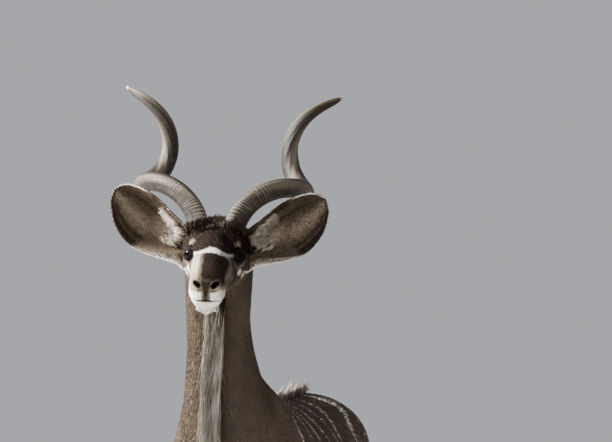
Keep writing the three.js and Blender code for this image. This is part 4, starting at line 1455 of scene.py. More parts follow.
class Marks:
    """The strength of every mark at each place, raised within one region at a time."""

    def __init__(self, count: int) -> None:
        """Starts with no mark anywhere and with the whole skin as the region."""
        self.values = {key: np.zeros(count) for key in MARKS}
        self.region: Value = 1.0

    def add(self, key: str, value: Value) -> None:
        """Raises a mark to at least a value."""
        self.values[key] = np.maximum(self.values[key], self.region * value)

    def cut(self, key: str, share: Array) -> None:
        """Takes away a share of a mark."""
        self.values[key] *= 1 - self.region * share


@dataclass(frozen=True)
class Markings:
    """Where the coat is white, dark, tan, pale or bare. Every result runs from 0 to 1.

    A cheek spot holds its place sideways, forward and up from between the eyes, and its radius.
    """

    stance: Stance
    body: BodyTube
    stripe_from: float = -232.0
    stripe_step: float = 104.0
    stripes: int = 8
    stripe_half: float = 3.6
    cheek_spots: Table = ((84, 10, -48, 9), (82, -18, -66, 10), (78, -46, -88, 9))

    def __call__(self, spots: Spots) -> dict[str, Array]:
        """The strength of each mark at each place."""
        marks = Marks(len(spots.points))
        for region in (self.trunk, self.face, self.legs, self.ears, self.tail):
            region(spots, marks)
        return {key: np.clip(value, 0, 1) for key, value in marks.values.items()}

    @staticmethod
    def chevron_height(a: Array) -> Array:
        """How high the middle of the chevron lies over the eyes: it falls from the nose to each eye."""
        return 11.0 - 14.0 * smooth(a / 52)

    def chevron(self, a: Array, f: Array, level: Array) -> Array:
        """The white bar that runs over the nose like an upturned V, from one eye to the other."""
        half = 2.6 + 3.4 * bell(a / 20)
        arm = band(level - self.chevron_height(a), -half, half, 3)
        return arm * fall(a, 56, 6) * ramp(f, 16, 8)

    def face(self, spots: Spots, marks: Marks) -> None:
        """Chevron, dark forehead and bridge, white lips and chin, cheek spots, bare nose.

        Places are measured from midway between the eyes: s to the left, a to either side, f forward and u
        up in the head, and level up in the frame. rough makes the edges uneven. Some marks are painted
        light: painted shade widens the dark bridge and dims the chevron on the left side, and a painted
        highlight whitens the right side of the nose.
        """
        p = spots.points
        s, f, u = self.stance.in_head(p)
        a = np.abs(s)
        marks.region = spots.on(Part.BODY, Part.LID) * fall(spots.station, 12.6, 1.2)
        rough = wobble(p, 4.0)
        level = 0.927 * u - 0.376 * f
        line = self.chevron(a + 2 * rough, f, level + 1.5 * rough)
        above = level - self.chevron_height(np.minimum(a, 56))
        # forehead, bridge of the nose and a streak beside it; on the left side the dark bridge patch is
        # widened and reaches down the face as painted shade
        forehead = smooth((above - 2 + 1.5 * rough) / 5) * ramp(f, -96, 20)
        forehead *= 1 - 0.3 * ramp(wobble(p, 3.0), 0.3, 0.4)
        left = s > 0
        half = 20 + 52 * ramp(f, 60, 60) * left - 3 * ramp(f, 200, 50)
        bridge = smooth((half - a + (3 + 7 * left) * rough) / (6 + 14 * left)) * ramp(-above, 5, 4)
        bridge *= smooth((u - 6 + 20 * left) / (10 + 20 * left))
        bridge *= ramp(f, 60, 10) * smooth((262 - f) / 12)
        streak = bell(s, -27, 4) * bell(f, 140, 24)
        marks.add("dark", forehead)
        marks.add("dark", 0.95 * np.maximum(bridge, 0.8 * streak))
        marks.add("dark", 0.3 * fall(f, 130, 60))
        # dark at the front of each ear's root, in the gap between ear and head: partly dark fur, partly
        # painted shade
        marks.add("dark", 0.8 * bell(a, 88, 16) * bell(f, -52, 22) * bell(u, 22, 28))
        # cheeks, throat, and the chevron with what is pale beside it
        cheek = 0.8 - 0.4 * ramp(-u, 12, 16) * smooth((225 - f) / 20)
        marks.add("pale", cheek * ramp(f, 60, 30) * ramp(a, 20, 10) * ramp(-above, 2, 6))
        marks.add("pale", 0.55 * ramp(-u, 60, 30))
        # the chevron is dimmed on the left side as painted shade
        marks.add("white", line * (1 - 0.35 * ramp(s, 10, 16)))
        # white on the right side of the nose below the chevron, on that side only: painted light
        marks.add("white", 0.35 * ramp(-s, 24, 8) * ramp(-above, 4, 8) * band(f, 80, 215, 30))
        for at_a, at_f, at_u, size in self.cheek_spots:
            far = np.hypot(np.hypot(f - at_f, (u - at_u) * 1.15), 0.3 * (a - at_a))
            marks.add("white", fall(far + 2 * rough, size, 4))
        # the pale spot over each eye
        brow = fall(np.hypot(np.hypot(f + 6, (a - 80) * 0.5), u - 25) + 4 * rough, 8, 13)
        marks.cut("dark", 0.75 * brow)
        marks.add("pale", 0.8 * brow)
        # lips, chin and nose
        mouth = self.body.mouth_line(f)
        lip = ramp(f, 176, 22) * smooth((-8 - u + 0.12 * (f - 240)) / 9) * ramp(a, 9, 7)
        marks.add("white", lip * ramp(u, mouth, 2))
        marks.add("white", smooth((f - 178 + 2 * rough) / 20) * smooth((mouth - u) / 2))
        q = self.body.nostril_reach(a - 25, u - 12)
        front = ramp(f, 232, 8)
        leather = front * smooth((11 + 0.24 * u - a) / 4) * ramp(u, -32, 10) * smooth((25 - u) / 7)
        marks.add("bare", np.maximum(0.82 * leather, front * fall(q, 0.95, 0.35)))
        marks.add("bare", 0.85 * front * bell(a / 1.8) * band(u, -38, -22, 6))
        lips = bell(u, mouth, 6.0 - 2.4 * smooth(a / 24)) * (1 - 0.8 * ramp(a, 22, 12))
        marks.add("bare", ramp(f, 205, 30) * lips)
        # lids and the skin round the eye
        lid = spots.on(Part.LID)
        ring = smooth((5.6 - spots.second) / 1.6) + ramp(spots.second, 8.4, 1.0)
        marks.add("bare", lid * np.maximum(ring, 0.8))
        marks.add("dark", 0.95 * lid)
        from_eye = xyz(a, p[:, 1], p[:, 2]) - self.stance.eye(Side.LEFT)
        out = np.linalg.norm(from_eye, axis=-1)
        away = away_from(unit(np.array(Lids.looks)), from_eye)
        marks.add("bare", 0.9 * (fall(out, 25.5, 3) * fall(away, 70, 8)))
        marks.add("dark", 0.75 * fall(out, 27, 6) * (1 - line))
        marks.add("pale", 0.7 * bell(out, 35, 5) * ramp(-u, 4, 10))

    def trunk(self, spots: Spots, marks: Marks) -> None:
        """Stripes, the line of the back, dark nape and throat, pale belly."""
        p = spots.points
        x, y, z = p.T
        rough = wobble(p, 9.0)
        flank = np.where(x > 0, 0.0, 1.7)
        marks.region = spots.on(Part.BODY) * ramp(spots.station, 22, 1.0)
        for k in range(self.stripes):
            middle = self.stripe_from + self.stripe_step * k + 7 * np.sin(2.1 * k + flank)
            lean = 0.10 * (1280 - z) * (1 if k < 5 else -0.4)
            end = 960 + 45 * np.sin(3.3 * k + 2 * flank) + (60 if k > 5 else 0)
            reach = ramp(z, end, 90) * smooth((1300 - z) / 10)
            half = self.stripe_half * (0.75 + 0.35 * np.sin(z / 60 + 4 * k + flank))
            marks.add("white", reach * fall(np.abs(y - middle - lean - 4 * rough), half, 3.0) * 0.95)
        row = self.body.at(spots.station)
        upper = np.hypot(y - row[:, 0], z - row[:, 1])
        lower = np.hypot(y - row[:, 2], z - row[:, 3])
        aside = np.abs(x)
        marks.add("white", 0.9 * fall(aside, 5, 6) * fall(upper, 10, 20))
        marks.add("pale", 0.75 * smooth((900 - z + 20 * rough) / 90))
        marks.add("dark", 0.3 * ramp(-y, 480, 120))
        marks.region = spots.on(Part.BODY) * band(spots.station, 13.0, 21.8, 0.8)
        marks.add("dark", 0.72 * fall(aside, 14, 18) * fall(upper, 20, 30))
        marks.add("dark", 0.5 * fall(aside, 16, 20) * fall(lower, 20, 30))
        marks.add("dark", 0.22)

    def legs(self, spots: Spots, marks: Marks) -> None:
        """Tan from the knee down, dark garters on the inside, and dark pasterns."""
        p = spots.points
        z = p[:, 2]
        marks.region = spots.on(Part.FORELEG, Part.HINDLEG)
        rough = wobble(p, 10.0)
        inner = smooth(0.5 - spots.normals[:, 0] * np.sign(p[:, 0]) * 0.8)
        rear = smooth(0.5 + spots.normals[:, 1] * 0.8)
        marks.add("tan", smooth((640 - z + 22 * rough) / 130))
        marks.add("pale", 0.7 * inner * ramp(z, 620, 70) * fall(z, 900, 150))
        garter = band(z + 10 * rough, 540, 640, 26) * ramp(inner + rear, 0.6, 0.5)
        marks.add("dark", garter * np.where(spots.part == Part.FORELEG.value, 0.9, 0.6))
        marks.add("dark", 0.75 * (band(z + 5 * rough, 58, 104, 16) * smooth(0.35 - spots.normals[:, 1])))
        marks.add("white", 0.6 * band(z + 3 * rough, 106, 136, 10) * smooth(0.1 - spots.normals[:, 1]))

    def ears(self, spots: Spots, marks: Marks) -> None:
        """Streaked grey inside, a bright rim, and a brown back.

        t runs from the root to the tip, and v from the lower edge at -1 to the upper one at 1.
        """
        marks.region = spots.on(Part.EAR)
        t, v = spots.first, spots.second
        inside = (v < 2).astype(float)
        outside = 1 - inside
        v = np.where(v < 2, v, v - 4)
        w = v + 0.06 * wobble(spots.points, 6.0)
        middle = bell(w, 0.34, 0.2) * ramp(t, 0.3, 0.2) * fall(t, 0.78, 0.15)
        margin = bell(w, -0.72, 0.15) * ramp(t, 0.28, 0.2) * fall(t, 0.88, 0.1)
        deep = bell(w, -0.2, 0.3) * fall(t, 0.1, 0.3)
        marks.add("dark", inside * np.maximum(0.85 * middle, np.maximum(0.85 * margin, 0.8 * deep)))
        marks.add("dark", inside * (0.4 + 0.3 * (bell(w, 0.3, 0.45) * ramp(t, 0.4, 0.2))))
        marks.add("dark", inside * 0.8 * (ramp(w, 0.55, 0.2) * fall(t, 0.6, 0.1)))
        marks.add("dark", 0.9 * fall(t, 0.07, 0.09) * ramp(w, -0.6, 0.3))
        marks.add("pale", inside * 0.45 * bell(w, -0.32, 0.2) * ramp(t, 0.3, 0.3))
        marks.add("pale", inside * 0.7 * bell(t, 0.28, 0.16) * ramp(w, -0.5, 0.3))
        rim = ramp(v, 0.9, 0.06)
        marks.add("white", inside * 0.9 * rim * ramp(t, 0.66, 0.12))
        marks.add("dark", 0.85 * rim * fall(t, 0.6, 0.1))
        marks.add("dark", 0.92 * ramp(-v, 0.78, 0.08) * ramp(t, 0.36, 0.12))
        marks.add("dark", outside * 0.26)
        marks.add("white", outside * 0.7 * (ramp(-v, 0.45, 0.2) * fall(t, 0.42, 0.12)))
        marks.add("tan", outside * 0.25)

    def tail(self, spots: Spots, marks: Marks) -> None:
        """White beneath and at the edges, brown along the middle, with a black end."""
        marks.region = spots.on(Part.TAIL)
        z = spots.points[:, 2]
        end = smooth((885 - z) / 30)
        marks.add("white", smooth(0.5 - spots.normals[:, 1] * 1.2) * smooth((1190 - z) / 40))
        marks.add("dark", end)
        marks.cut("white", end)


@dataclass(frozen=True)
class Pelt:
    """How the short hair of one region stands: millimetres, and degrees for the lift."""

    name: str
    area_each: float
    length: float
    width: float
    lift: float
    limit: int = 48000


class Coat:
    """Short hair all over the skin, as thin closed tufts that lie along it."""

    BARE_LIMIT = 0.35
    EYE_CLEAR = 27.5
    SINK = 0.4

    def __init__(self, skin: Skin, markings: Markings, finish: Material, seed: int = 5) -> None:
        """Keeps the skin and what its hair looks like."""
        self.skin = skin
        self.stance = skin.stance
        self.body = skin.body
        self.markings = markings
        self.finish = finish
        self.random = np.random.default_rng(seed)
        self.spots = skin.spots()

    def lie(self, spots: Spots) -> Array:
        """The way the hair lies: tailwards and down over the body, down the legs, out on the ears."""
        way = self.body.tailward(spots.station)
        trunk = ramp(spots.station, 13, 6)
        side = np.clip(np.abs(spots.normals[:, 0]), 0, 1)
        way[:, 2] -= 0.55 * trunk * side
        way[:, 2] += 0.25 * (1 - trunk) * np.abs(spots.normals[:, 0])
        leg = spots.on(Part.FORELEG, Part.HINDLEG)
        blend = leg * smooth((1060 - spots.points[:, 2]) / 260)
        way = way * (1 - blend[:, None]) + np.array([0.0, 0.12, -1.0]) * blend[:, None]
        along = unit(np.array(Ear.axis))
        out = self.stance.forward * along[1] + self.stance.upward * along[2]
        ear_way = np.sign(spots.points[:, :1]) * np.array([[along[0], 0.0, 0.0]]) + out
        way = np.where(spots.on(Part.EAR)[:, None] > 0, ear_way, way)
        way = np.where(spots.on(Part.TAIL)[:, None] > 0, np.array([0.0, 0.15, -1.0]), way)
        return flat_on(way, spots.normals)

    def grow(self, pelt: Pelt, chosen: Array, unwrapped: Callable[[Spots], Array]) -> Object:
        """Covers a region with tufts.

        A tuft is a thin tetrahedron: two root corners across the lie, one above them, and a tip
        that rises by the lift. Its numbers are those of its root.

        Args:
            pelt: how the hair of the region stands.
            chosen: which triangles of the skin belong to the region.
            unwrapped: gives the root's place on the unwrap, from 0 to 1 both ways.

        Returns:
            The piece.
        """
        rng = self.random
        skin = self.skin
        area = np.where(chosen, skin.areas, 0.0)
        count = int(min(pelt.limit, area.sum() / pelt.area_each))
        tri = rng.choice(len(area), size=count, p=area / area.sum())
        r, q = np.sqrt(rng.random(count)), rng.random(count)
        shares = np.stack([1 - r, r * (1 - q), r * q], axis=-1)
        spots = self.spots.within(skin.tris[tri], shares)
        spots.part = skin.tri_part[tri]
        marks = self.markings(spots)
        eyes = [np.linalg.norm(spots.points - self.stance.eye(side), axis=-1) for side in Side]
        keep = (marks["bare"] < self.BARE_LIMIT) & (np.minimum(*eyes) > self.EYE_CLEAR)
        spots = spots.kept(keep)
        marks = {key: value[keep] for key, value in marks.items()}
        count = len(spots.points)
        n = spots.normals
        way = self.lie(spots)
        across = np.cross(n, way)
        sway = 0.22 * rng.standard_normal(count) + 0.25 * wobble(spots.points, 26.0)
        way = unit(way + across * sway[:, None])
        across = np.cross(n, way)
        lift = np.radians(pelt.lift * (0.7 + 0.6 * rng.random(count)))
        length = pelt.length * (0.7 + 0.6 * rng.random(count))
        half = 0.5 * pelt.width * (0.75 + 0.5 * rng.random(count))
        reach = (way * np.cos(lift)[:, None] + n * np.sin(lift)[:, None]) * length[:, None]
        root = spots.points - n * self.SINK
        corners = np.stack(
            [
                root - across * half[:, None],
                root + across * half[:, None],
                root + n * (0.9 * half)[:, None],
                spots.points + reach,
            ],
            axis=1,
        )
        first = 4 * np.arange(count)[:, None]
        faces = np.concatenate([first + np.array(f) for f in ((0, 1, 2), (0, 2, 3), (2, 1, 3), (1, 0, 3))])
        shell = Shell(corners.reshape(-1, 3), [faces]).outward()
        mesh = shell.mesh(pelt.name, self.stance)
        marks["shade"] = rng.random(count)
        for key, value in marks.items():
            mark(mesh, key, np.repeat(value, 4))
        unwrap_small(mesh, np.clip(unwrapped(spots), 0, 1), 4)
        return show(mesh, self.finish)

    def grow_all(self) -> None:
        """Every region of short hair."""
        skin, spots = self.skin, self.spots
        part = skin.tri_part
        middle = skin.points[skin.tris].mean(axis=1)
        station = spots.station[skin.tris].mean(axis=1)
        body = part == Part.BODY.value
        start, end = self.body.head_end, self.body.torso_start

        def round_and(low: float, high: float) -> Callable[[Spots], Array]:
            def place(s: Spots) -> Array:
                share = (s.station - low) / (high - low)
                return np.stack([self.body.round_of(s.points, s.station), share], axis=-1)

            return place

        def on_leg(s: Spots) -> Array:
            sign, foot = np.sign(s.points[:, 0]), np.abs(s.points[:, 0]) - 104
            angle = np.arctan2(s.normals[:, 1], s.normals[:, 0] * sign) / (2 * math.pi) % 1.0
            return np.stack([(angle + (foot > -200) * (sign > 0)) / 2, s.points[:, 2] / 1250], axis=-1)

        def on_ear(s: Spots) -> Array:
            across = np.where(s.second < 2, (s.second + 1) / 4, (s.second - 3) / 4 + 0.5)
            return np.stack([(across + (s.points[:, 0] > 0)) / 2, (s.first + 0.14) / 1.14], axis=-1)

        def on_tail(s: Spots) -> Array:
            angle = np.arctan2(s.normals[:, 0], s.normals[:, 1]) / (2 * math.pi) % 1.0
            return np.stack([angle, (s.points[:, 2] - 830) / 400], axis=-1)

        self.grow(Pelt("coat_head", 5.0, 7.0, 1.5, 12), body & (station < start), round_and(0, start))
        neck = body & (station >= start) & (station < end)
        self.grow(Pelt("coat_neck", 11.6, 14.0, 2.3, 12), neck, round_and(start, end))
        for side in Side:
            self.grow(
                Pelt(f"coat_torso_{side.word}", 20.4, 17.0, 2.9, 10),
                body & (station >= end) & (middle[:, 0] * side.value > 0),
                round_and(end, self.body.end),
            )
        self.grow(Pelt("coat_forelegs", 11.0, 10.0, 2.0, 10), part == Part.FORELEG.value, on_leg)
        self.grow(Pelt("coat_hindlegs", 15.4, 11.0, 2.4, 10), part == Part.HINDLEG.value, on_leg)
        self.grow(Pelt("coat_ears", 6.0, 7.0, 1.4, 11), part == Part.EAR.value, on_ear)
        self.grow(Pelt("coat_tail", 6.0, 13.0, 1.8, 12), part == Part.TAIL.value, on_tail)


# Long hair


class Dice:
    """A repeatable run of factors close to 1, the same that varies the solids' locks."""

    def __init__(self) -> None:
        """Starts the run."""
        self.state = 7

    def varied(self) -> float:
        """The next factor, from 0.87 to 1.13."""
        self.state = self.state * 48271 % 2147483647
        return 0.87 + 0.26 * self.state / 2147483647


Lock = tuple[Array, Array, Array, Array]


@dataclass
class Locks:
    """Locks of hair on curves: where each starts, passes and ends, and its cross-section."""

    root: Array
    middle: Array
    tip: Array
    broad: Array
    width: float
    thickness: float

    @classmethod
    def gather(cls, rows: list[Lock], width: float, thickness: float) -> "Locks":
        """Stacks single locks, each given by its root, middle, tip and broad direction."""
        root, middle, tip, broad = (np.array(column) for column in zip(*rows))
        return cls(root, middle, tip, broad, width, thickness)


@dataclass(frozen=True)
class LockRow:
    """A row of locks along the upper or lower line of the body, in two staggered columns."""

    line: ProfileLine
    start: float
    end: float
    count: int
    length: Callable[[float], float]
    height: Callable[[float], float]
    width: float
    thickness: float
    spread: float
    sink: float = 15.0

    def one(self, share: float, side: float, factors: tuple[float, ...]) -> Lock:
        """A lock at a share of the way along the row: it rises from the line and lies along it."""
        far = self.line.distance(self.start)
        far += (self.line.distance(self.end) - far) * share
        length = self.length(share) * factors[0]
        height = self.height(share) * factors[1]

        def place(along: float, up: float, aside: float) -> Array:
            point, out = self.line.at(np.array(far + along))
            return point + out * up + np.array([side * aside, 0, 0])

        out = self.line.at(np.array(far))[1]
        return (
            place(0, -self.sink, self.spread),
            place(0.5 * length, 0.6 * height, 1.2 * self.spread),
            place(length, height, 1.6 * self.spread * factors[2]),
            out + np.array([side * 0.6, 0, 0]),
        )

    def main(self, dice: Dice) -> Locks:
        """The same locks as those of the solid."""
        rows = []
        for i in range(self.count):
            factors = (dice.varied(), dice.varied(), dice.varied())
            rows.append(self.one((i + 0.5) / self.count, 1 if i % 2 else -1, factors))
        return Locks.gather(rows, self.width, self.thickness)

    def between(self, rng: np.random.Generator, count: int) -> Locks:
        """Smaller locks at chance places, which fill the row."""
        rows = []
        for _ in range(count):
            factors = tuple(0.5 + 0.5 * rng.random(3))
            rows.append(self.one(rng.random(), rng.uniform(-1.5, 1.5), factors))
        return Locks.gather(rows, self.width * 0.4, self.thickness * 0.9)


@dataclass(frozen=True)
class HairTone:
    """The marks of long hair at its root and at its tip, and how much locks differ."""

    root: dict[str, float]
    tip: dict[str, float]
    vary: float = 0.25


@dataclass(frozen=True)
class Growth:
    """Locks to be filled with blades of hair.

    Attributes:
        locks: the locks.
        each: blades in a lock.
        fine: the width of a blade.
        stray: how far blades leave the lock, as a share of its width.
        start: where on the lock's curve the blades begin.
        tone: the marks of the blades.
    """

    locks: Locks
    each: int
    fine: float
    stray: float
    start: float
    tone: HairTone

    def blades(self, rng: np.random.Generator) -> tuple[Array, Array, Array]:
        """Fills every lock.

        A blade keeps its place in the lock's section, which narrows to the tip as the lock does,
        less so for a stray one. The curve is the quadratic one through root, middle and tip.

        Args:
            rng: the source of chance.

        Returns:
            Points in the shape (blades, rings, corners, 3), tips, and the lock of each blade.
        """
        own = self.locks
        locks = np.repeat(np.arange(len(own.root)), self.each)
        count = len(locks)
        root, middle, tip, broad = (v[locks] for v in (own.root, own.middle, own.tip, own.broad))
        control = 2 * middle - 0.5 * root - 0.5 * tip
        angle, radius = 2 * math.pi * rng.random(count), np.sqrt(rng.random(count))
        side = radius * np.cos(angle) * own.width / 2
        deep = radius * np.sin(angle) * own.thickness / 2
        loose = rng.random(count) ** 2
        bend = rng.standard_normal((2, count)) * self.stray * own.width
        end = 0.62 + 0.42 * rng.random(count) ** 0.7
        roll = 2 * math.pi * rng.random(count)
        size = self.fine * (0.75 + 0.5 * rng.random(count))
        rings = []
        for share in (0.0, 0.34, 0.68, 1.0):
            s = (self.start + (end - self.start) * share)[:, None]
            centre = (1 - s) ** 2 * root + 2 * s * (1 - s) * control + s * s * tip
            along = unit(2 * (1 - s) * (control - root) + 2 * s * (tip - control))
            across = flat_on(broad, along)
            out = np.cross(along, across)
            full = np.clip((1 - s * s) * (0.85 + 0.6 * s), 0, 1)
            full = full + (0.75 - full) * 0.55 * loose[:, None] * np.minimum(s * 2, 1)
            centre = centre + across * (side[:, None] * full + bend[0][:, None] * s * s)
            centre = centre + out * (deep[:, None] * full + 0.5 * bend[1][:, None] * s * s)
            if share == 1.0:
                rings.append(centre)
                continue
            thin = size * (1 - 0.55 * share)
            spokes = []
            for a in (roll + turn for turn in turns(3)):
                spoke = centre + across * (np.cos(a) * thin / 2)[:, None]
                spokes.append(spoke + out * (np.sin(a) * thin / 3)[:, None])
            rings.append(np.stack(spokes, axis=1))
        return np.stack(rings[:-1], axis=1), rings[-1], locks


class LongHair:
    """Crest, fringe, tail hair and the hair of crown, chin and ears, as curved blades."""

    ear_locks = 320
    crown_locks = 120
    chin_locks = 130
    collar_locks = 72

    def __init__(
        self, skin: Skin, tail: Tail, ears: list[Ear], finish: Material, seed: int = 11
    ) -> None:
        """Keeps what the hair grows on."""
        self.body = skin.body
        self.tail = tail
        self.ear_list = ears
        self.stance = skin.stance
        self.finish = finish
        self.random = np.random.default_rng(seed)

    def piece(self, name: str, *growths: Growth) -> Object:
        """Makes one piece of blades, each of nine points in three rings and a tip.

        Args:
            name: the piece's name.
            growths: its locks, with what fills them.

        Returns:
            The piece.
        """
        points, marks, places = [], [], []
        rng = self.random
        share = np.array([0.0] * 3 + [0.4] * 3 + [0.75] * 3 + [1.0])
        for growth in growths:
            rings, tips, owner = growth.blades(rng)
            tone = growth.tone
            count = len(tips)
            points.append(np.concatenate([rings.reshape(count, 9, 3), tips[:, None, :]], axis=1))
            own = rng.random(len(growth.locks.root))[owner] * 0.35 + rng.random(count) * 0.65
            block = {"shade": np.repeat(rng.random(count)[:, None], 10, axis=1)}
            for key in MARKS:
                low, high = tone.root.get(key, 0.0), tone.tip.get(key, 0.0)
                stray = (own - 0.5)[:, None] * 2 * tone.vary * (low + high > 0)
                block[key] = np.clip(low + (high - low) * share[None, :] + stray, 0, 1)
            marks.append(block)
            along = (owner + rng.random(count)) / (owner.max() + 1)
            places.append(np.stack([along, rng.random(count)], axis=-1))
        p = np.concatenate(points)
        count = len(p)
        first = 10 * np.arange(count)[:, None]
        quads, tris = [], [first + np.array([0, 2, 1])]
        for k in range(3):
            j = (k + 1) % 3
            quads += [first + np.array([low + k, low + j, low + 3 + j, low + 3 + k]) for low in (0, 3)]
            tris.append(first + np.array([6 + k, 6 + j, 9]))
        shell = Shell(p.reshape(-1, 3), [np.concatenate(quads), np.concatenate(tris)]).outward()
        mesh = shell.mesh(name, self.stance)
        for key in marks[0]:
            mark(mesh, key, np.concatenate([block[key] for block in marks]).reshape(-1))
        unwrap_small(mesh, np.concatenate(places), 10)
        return show(mesh, self.finish)

    def crest_and_fringe(self) -> None:
        """The crest of nape and back, and the fringe of throat and chest, in the solids' rows."""
        dice, rng = Dice(), self.random
        top, low = ProfileLine(self.body, True), ProfileLine(self.body, False)
        start, end = self.body.head_end, self.body.torso_start

        def nape_height(s: float) -> float:
            return (52 - 12 * s) * (0.3 + 0.7 * float(smooth(s / 0.3)))

        def throat_length(s: float) -> float:
            return 140 + 34 * math.sin(math.pi * s)

        def throat_height(s: float) -> float:
            return 40 + 36 * math.sin(math.pi * s)

        def back_height(s: float) -> float:
            return 30 - 10 * float(smooth(2 * s))

        nape = LockRow(top, start + 0.6, end - 0.4, 15, lambda s: 132, nape_height, 50, 10, 10)
        throat = LockRow(low, start + 0.4, end - 0.5, 17, throat_length, throat_height, 58, 10, 11)
        back = LockRow(top, end + 0.6, 33, 15, lambda s: 130 - 14 * s, back_height, 42, 12, 6)
        chest = LockRow(low, end + 0.7, 25, 5, lambda s: 112, lambda s: 50 - 28 * s, 46, 12, 8)
        dark = HairTone({"dark": 0.85}, {"dark": 0.5, "pale": 0.2})
        light = HairTone({"dark": 0.35, "pale": 0.4}, {"white": 0.6, "pale": 0.6}, 0.5)
        mixed = HairTone({"dark": 0.75, "pale": 0.15}, {"dark": 0.35, "white": 0.25, "pale": 0.5}, 0.5)
        on_nape, on_throat, on_back, on_chest = (row.main(dice) for row in (nape, throat, back, chest))
        self.piece(
            "crest_nape",
            Growth(on_nape, 90, 1.7, 0.22, 0.08, dark),
            Growth(nape.between(rng, 200), 18, 1.5, 0.4, 0.1, dark),
        )
        self.piece(
            "fringe",
            Growth(on_throat, 110, 1.6, 0.24, 0.05, mixed),
            Growth(throat.between(rng, 250), 17, 1.4, 0.42, 0.08, mixed),
            Growth(on_chest, 80, 1.6, 0.24, 0.08, mixed),
        )
        self.piece(
            "crest_back",
            Growth(on_back, 80, 1.7, 0.24, 0.08, light),
            Growth(back.between(rng, 260), 18, 1.5, 0.42, 0.1, light),
        )
        self.tail_hair(dice)

    def tail_hair(self, dice: Dice) -> None:
        """Hair on both edges of the tail and the tuft at its end."""
        rows, dark_rows = [], []
        last = len(self.tail.rows) - 1
        for i in range(9):
            side = 1 if i % 2 else -1
            share = (i + 0.5) / 9
            y, z, wide, _ = self.tail.at(np.array(last * (0.34 + 0.6 * share)))
            spread = 46 - 26 * share
            length = 130 * dice.varied()
            lock = (
                np.array([side * wide * 0.5, y, z]),
                np.array([side * (0.2 * wide + 0.7 * spread), y + 5, z - 0.5 * length]),
                np.array([side * spread * dice.varied(), y + 9, z - length]),
                np.array([1.0, side * 0.5, 0.0]),
            )
            (dark_rows if i > 5 else rows).append(lock)
        light = HairTone({"white": 0.75, "pale": 0.5}, {"white": 0.85}, 0.25)
        dark = HairTone({"dark": 0.95, "bare": 0.2}, {"dark": 1.0, "bare": 0.3}, 0.1)
        self.piece(
            "tail_hair",
            Growth(Locks.gather(rows, 34, 9), 150, 2.2, 0.15, 0.05, light),
            Growth(Locks.gather(dark_rows, 34, 10), 260, 2.2, 0.15, 0.05, dark),
        )

    def head_hair(self) -> None:
        """Longer hair between the horns and at the root of each ear, and under the chin."""
        rng, st = self.random, self.stance
        rows = []
        for i in range(self.crown_locks):
            spike = i % 8 == 0
            s = rng.normal(27, 5) if spike else rng.uniform(-36, 38)
            f = rng.uniform(-92, -20)
            up = 66 - 0.006 * s * s
            reach = rng.uniform(18, 26) if spike else rng.uniform(10, 22)
            rise = rng.uniform(0.8, 1.1) if spike else rng.uniform(0.4, 0.95)
            lean = rng.uniform(-4, 4)
            rows.append(
                (
                    st.head(s, f, up - 9),
                    st.head(s + 0.3 * lean, f - 0.3 * reach, up + 0.55 * rise * reach),
                    st.head(s + lean, f - 0.7 * reach, up + rise * reach),
                    np.array([1.0, rng.uniform(-0.4, 0.4), 0.0]),
                )
            )
        crown = Locks.gather(rows, 11, 5)
        rows = []
        for _ in range(self.chin_locks):
            s, f = rng.uniform(-25, 25), rng.uniform(168, 240)
            centre = math.exp(-((s / 18) ** 2)) * math.exp(-(((f - 208) / 34) ** 2))
            reach = (8 + 38 * centre) * rng.uniform(0.5, 1.2)
            stray = rng.uniform(-5, 5)
            rows.append(
                (
                    st.head(s, f, -66),
                    st.head(s * 0.92, f - 0.2 * reach, -68 - 0.45 * reach),
                    st.head(s * 0.86 + stray, f - 0.6 * reach, -69 - 0.8 * reach),
                    np.array([1.0, 0.0, 0.0]),
                )
            )
        chin = Locks.gather(rows, 9, 6)
        collar = Locks.gather(self.horn_collar(), 7, 4)
        tuft = HairTone({"dark": 0.8}, {"dark": 0.3, "pale": 0.5}, 0.4)
        white = HairTone({"white": 0.9, "pale": 0.5}, {"white": 1.0}, 0.15)
        rim = HairTone({"dark": 0.95}, {"dark": 0.8}, 0.3)
        self.piece(
            "head_hair",
            Growth(crown, 20, 1.3, 0.25, 0.15, tuft),
            Growth(chin, 14, 1.1, 0.45, 0.1, white),
            Growth(collar, 13, 1.2, 0.3, 0.05, rim),
        )

    def horn_collar(self) -> list[Lock]:
        """Short locks that close the skin round the base of each horn."""
        rng, st, rows = self.random, self.stance, []
        for side in Side:
            horn = Horn(st, side)
            middle, away = horn.middle(np.array([0.0, 0.012]))
            along = unit(middle[1] - middle[0])
            first = flat_on(away[0], along)
            second = np.cross(along, first)
            for k in range(self.collar_locks):
                angle = 2 * math.pi * (k + rng.random()) / self.collar_locks
                out = first * math.cos(angle) + second * math.sin(angle)
                round_it = second * math.cos(angle) - first * math.sin(angle)
                depth = rng.uniform(14, 32)
                reach = 0.55 * depth + rng.uniform(7, 13)
                root = middle[0] + out * rng.uniform(28, 31) - along * depth
                half = root + along * 0.55 * reach + out * 4.5
                tip = root + along * reach + out * rng.uniform(4, 7) + round_it * rng.uniform(-5, 5)
                flip = np.array([side.value, 1, 1])
                rows.append((*(st.head(*(point * flip)) for point in (root, half, tip)), out))
        return rows

